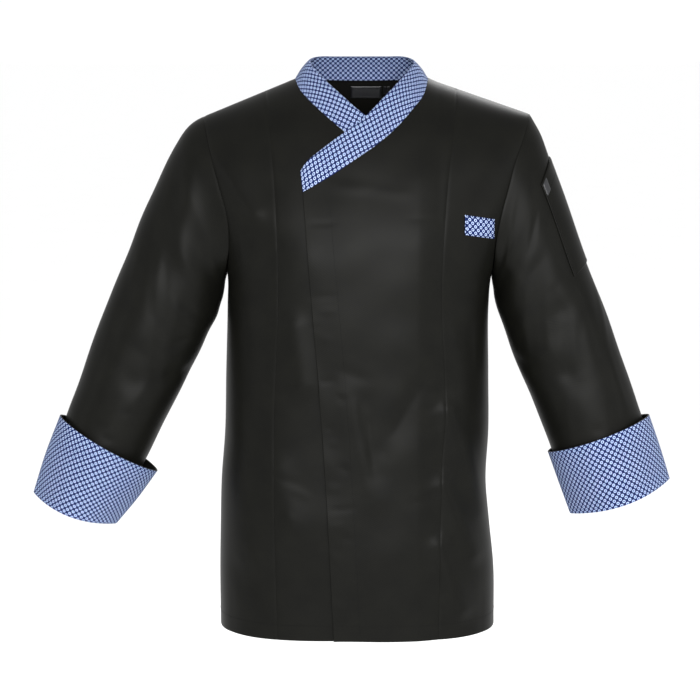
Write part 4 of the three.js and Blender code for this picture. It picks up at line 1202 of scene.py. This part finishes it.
# Every piece of cloth stands for its solid
slots = {"cuff_left": "printed_cotton", "cuff_right": "printed_cotton", "collar": "printed_cotton"}
slots |= {"chest_tab": "printed_cotton", "pocket_label": "label_satin", "neck_label": "label_satin", "size_tab": "label_satin"}
for node, piece in pieces.items():
    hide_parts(node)

# Floor, light and camera
stage = {"floorZ": -1.3, "floorSize": 600, "floor": "#f9f9f9", "world": "#ffffff", "ambient": 1.04}
floorMaterial, floorTree, floorShader = newMaterial("matt white painted floor")
mottle = addNode(floorTree, "TexNoise", {"Scale": 3.0, "Detail": 3.0}, {"Vector": (addNode(floorTree, "TexCoord"), "Object")})
paint = addNode(
    floorTree,
    "Mix",
    {"data_type": "RGBA", 6: linear(stage["floor"]), 7: linear("#fcfcfc")},
    {"Factor": (mottle, "Fac")},
)
floorTree.links.new(paint.outputs[2], floorShader.inputs["Base Color"])
setShader(floorShader, {"Roughness": 0.9, "IOR": 1.5, "Specular IOR Level": 0.1})
bpy.ops.mesh.primitive_plane_add(size=stage["floorSize"], location=(0, 0, stage["floorZ"]))
floor = bpy.context.object
floor.name = "floor"
floor.data.materials.append(floorMaterial)

scene = bpy.context.scene
world = bpy.data.worlds.new("studio")
world.use_nodes = True
world.node_tree.nodes["Background"].inputs["Color"].default_value = linear(stage["world"])
world.node_tree.nodes["Background"].inputs["Strength"].default_value = stage["ambient"]
scene.world = world
scene.view_settings.view_transform = "Standard"

lamps = [
    # name, place, aimed at, width, height, watts
    ("key", (0.25, -2.9, 0.24), (0, 0, -0.3), 2.0, 0.36, 122),
    ("right", (2.4, -1.3, -0.1), (0.1, 0, -0.35), 0.9, 0.6, 11),
    ("left", (-2.5, -1.1, 0.0), (-0.1, 0, -0.35), 0.9, 0.6, 6),
    ("behind", (0.7, 2.2, 1.5), (0, 0, -0.35), 1.2, 1.2, 40),
]
for name, place, aim, wide, tall, watts in lamps:
    light = bpy.data.lights.new(name, "AREA")
    light.shape = "RECTANGLE"
    light.size, light.size_y, light.energy = wide, tall, watts
    lamp = bpy.data.objects.new(name, light)
    lamp.location = place
    away = np.array(place) - np.array(aim)
    heading = math.atan2(away[0], -away[1])
    lamp.rotation_euler = (math.atan2(math.hypot(away[0], away[1]), away[2]), 0, heading)
    scene.collection.objects.link(lamp)

view = {"place": (-0.0117, -2.9, 0.040), "aim": (-0.0117, 0, -0.3723), "lens": 107.8}
cameraData = bpy.data.cameras.new("camera")
cameraData.lens = view["lens"]
cameraData.sensor_width = 36
camera = bpy.data.objects.new("camera", cameraData)
camera.location = view["place"]
tilt = math.atan2(view["place"][2] - view["aim"][2], view["aim"][1] - view["place"][1])
camera.rotation_euler = (math.pi / 2 - tilt, 0, 0)
scene.collection.objects.link(camera)
scene.camera = camera
print("stage and camera set")
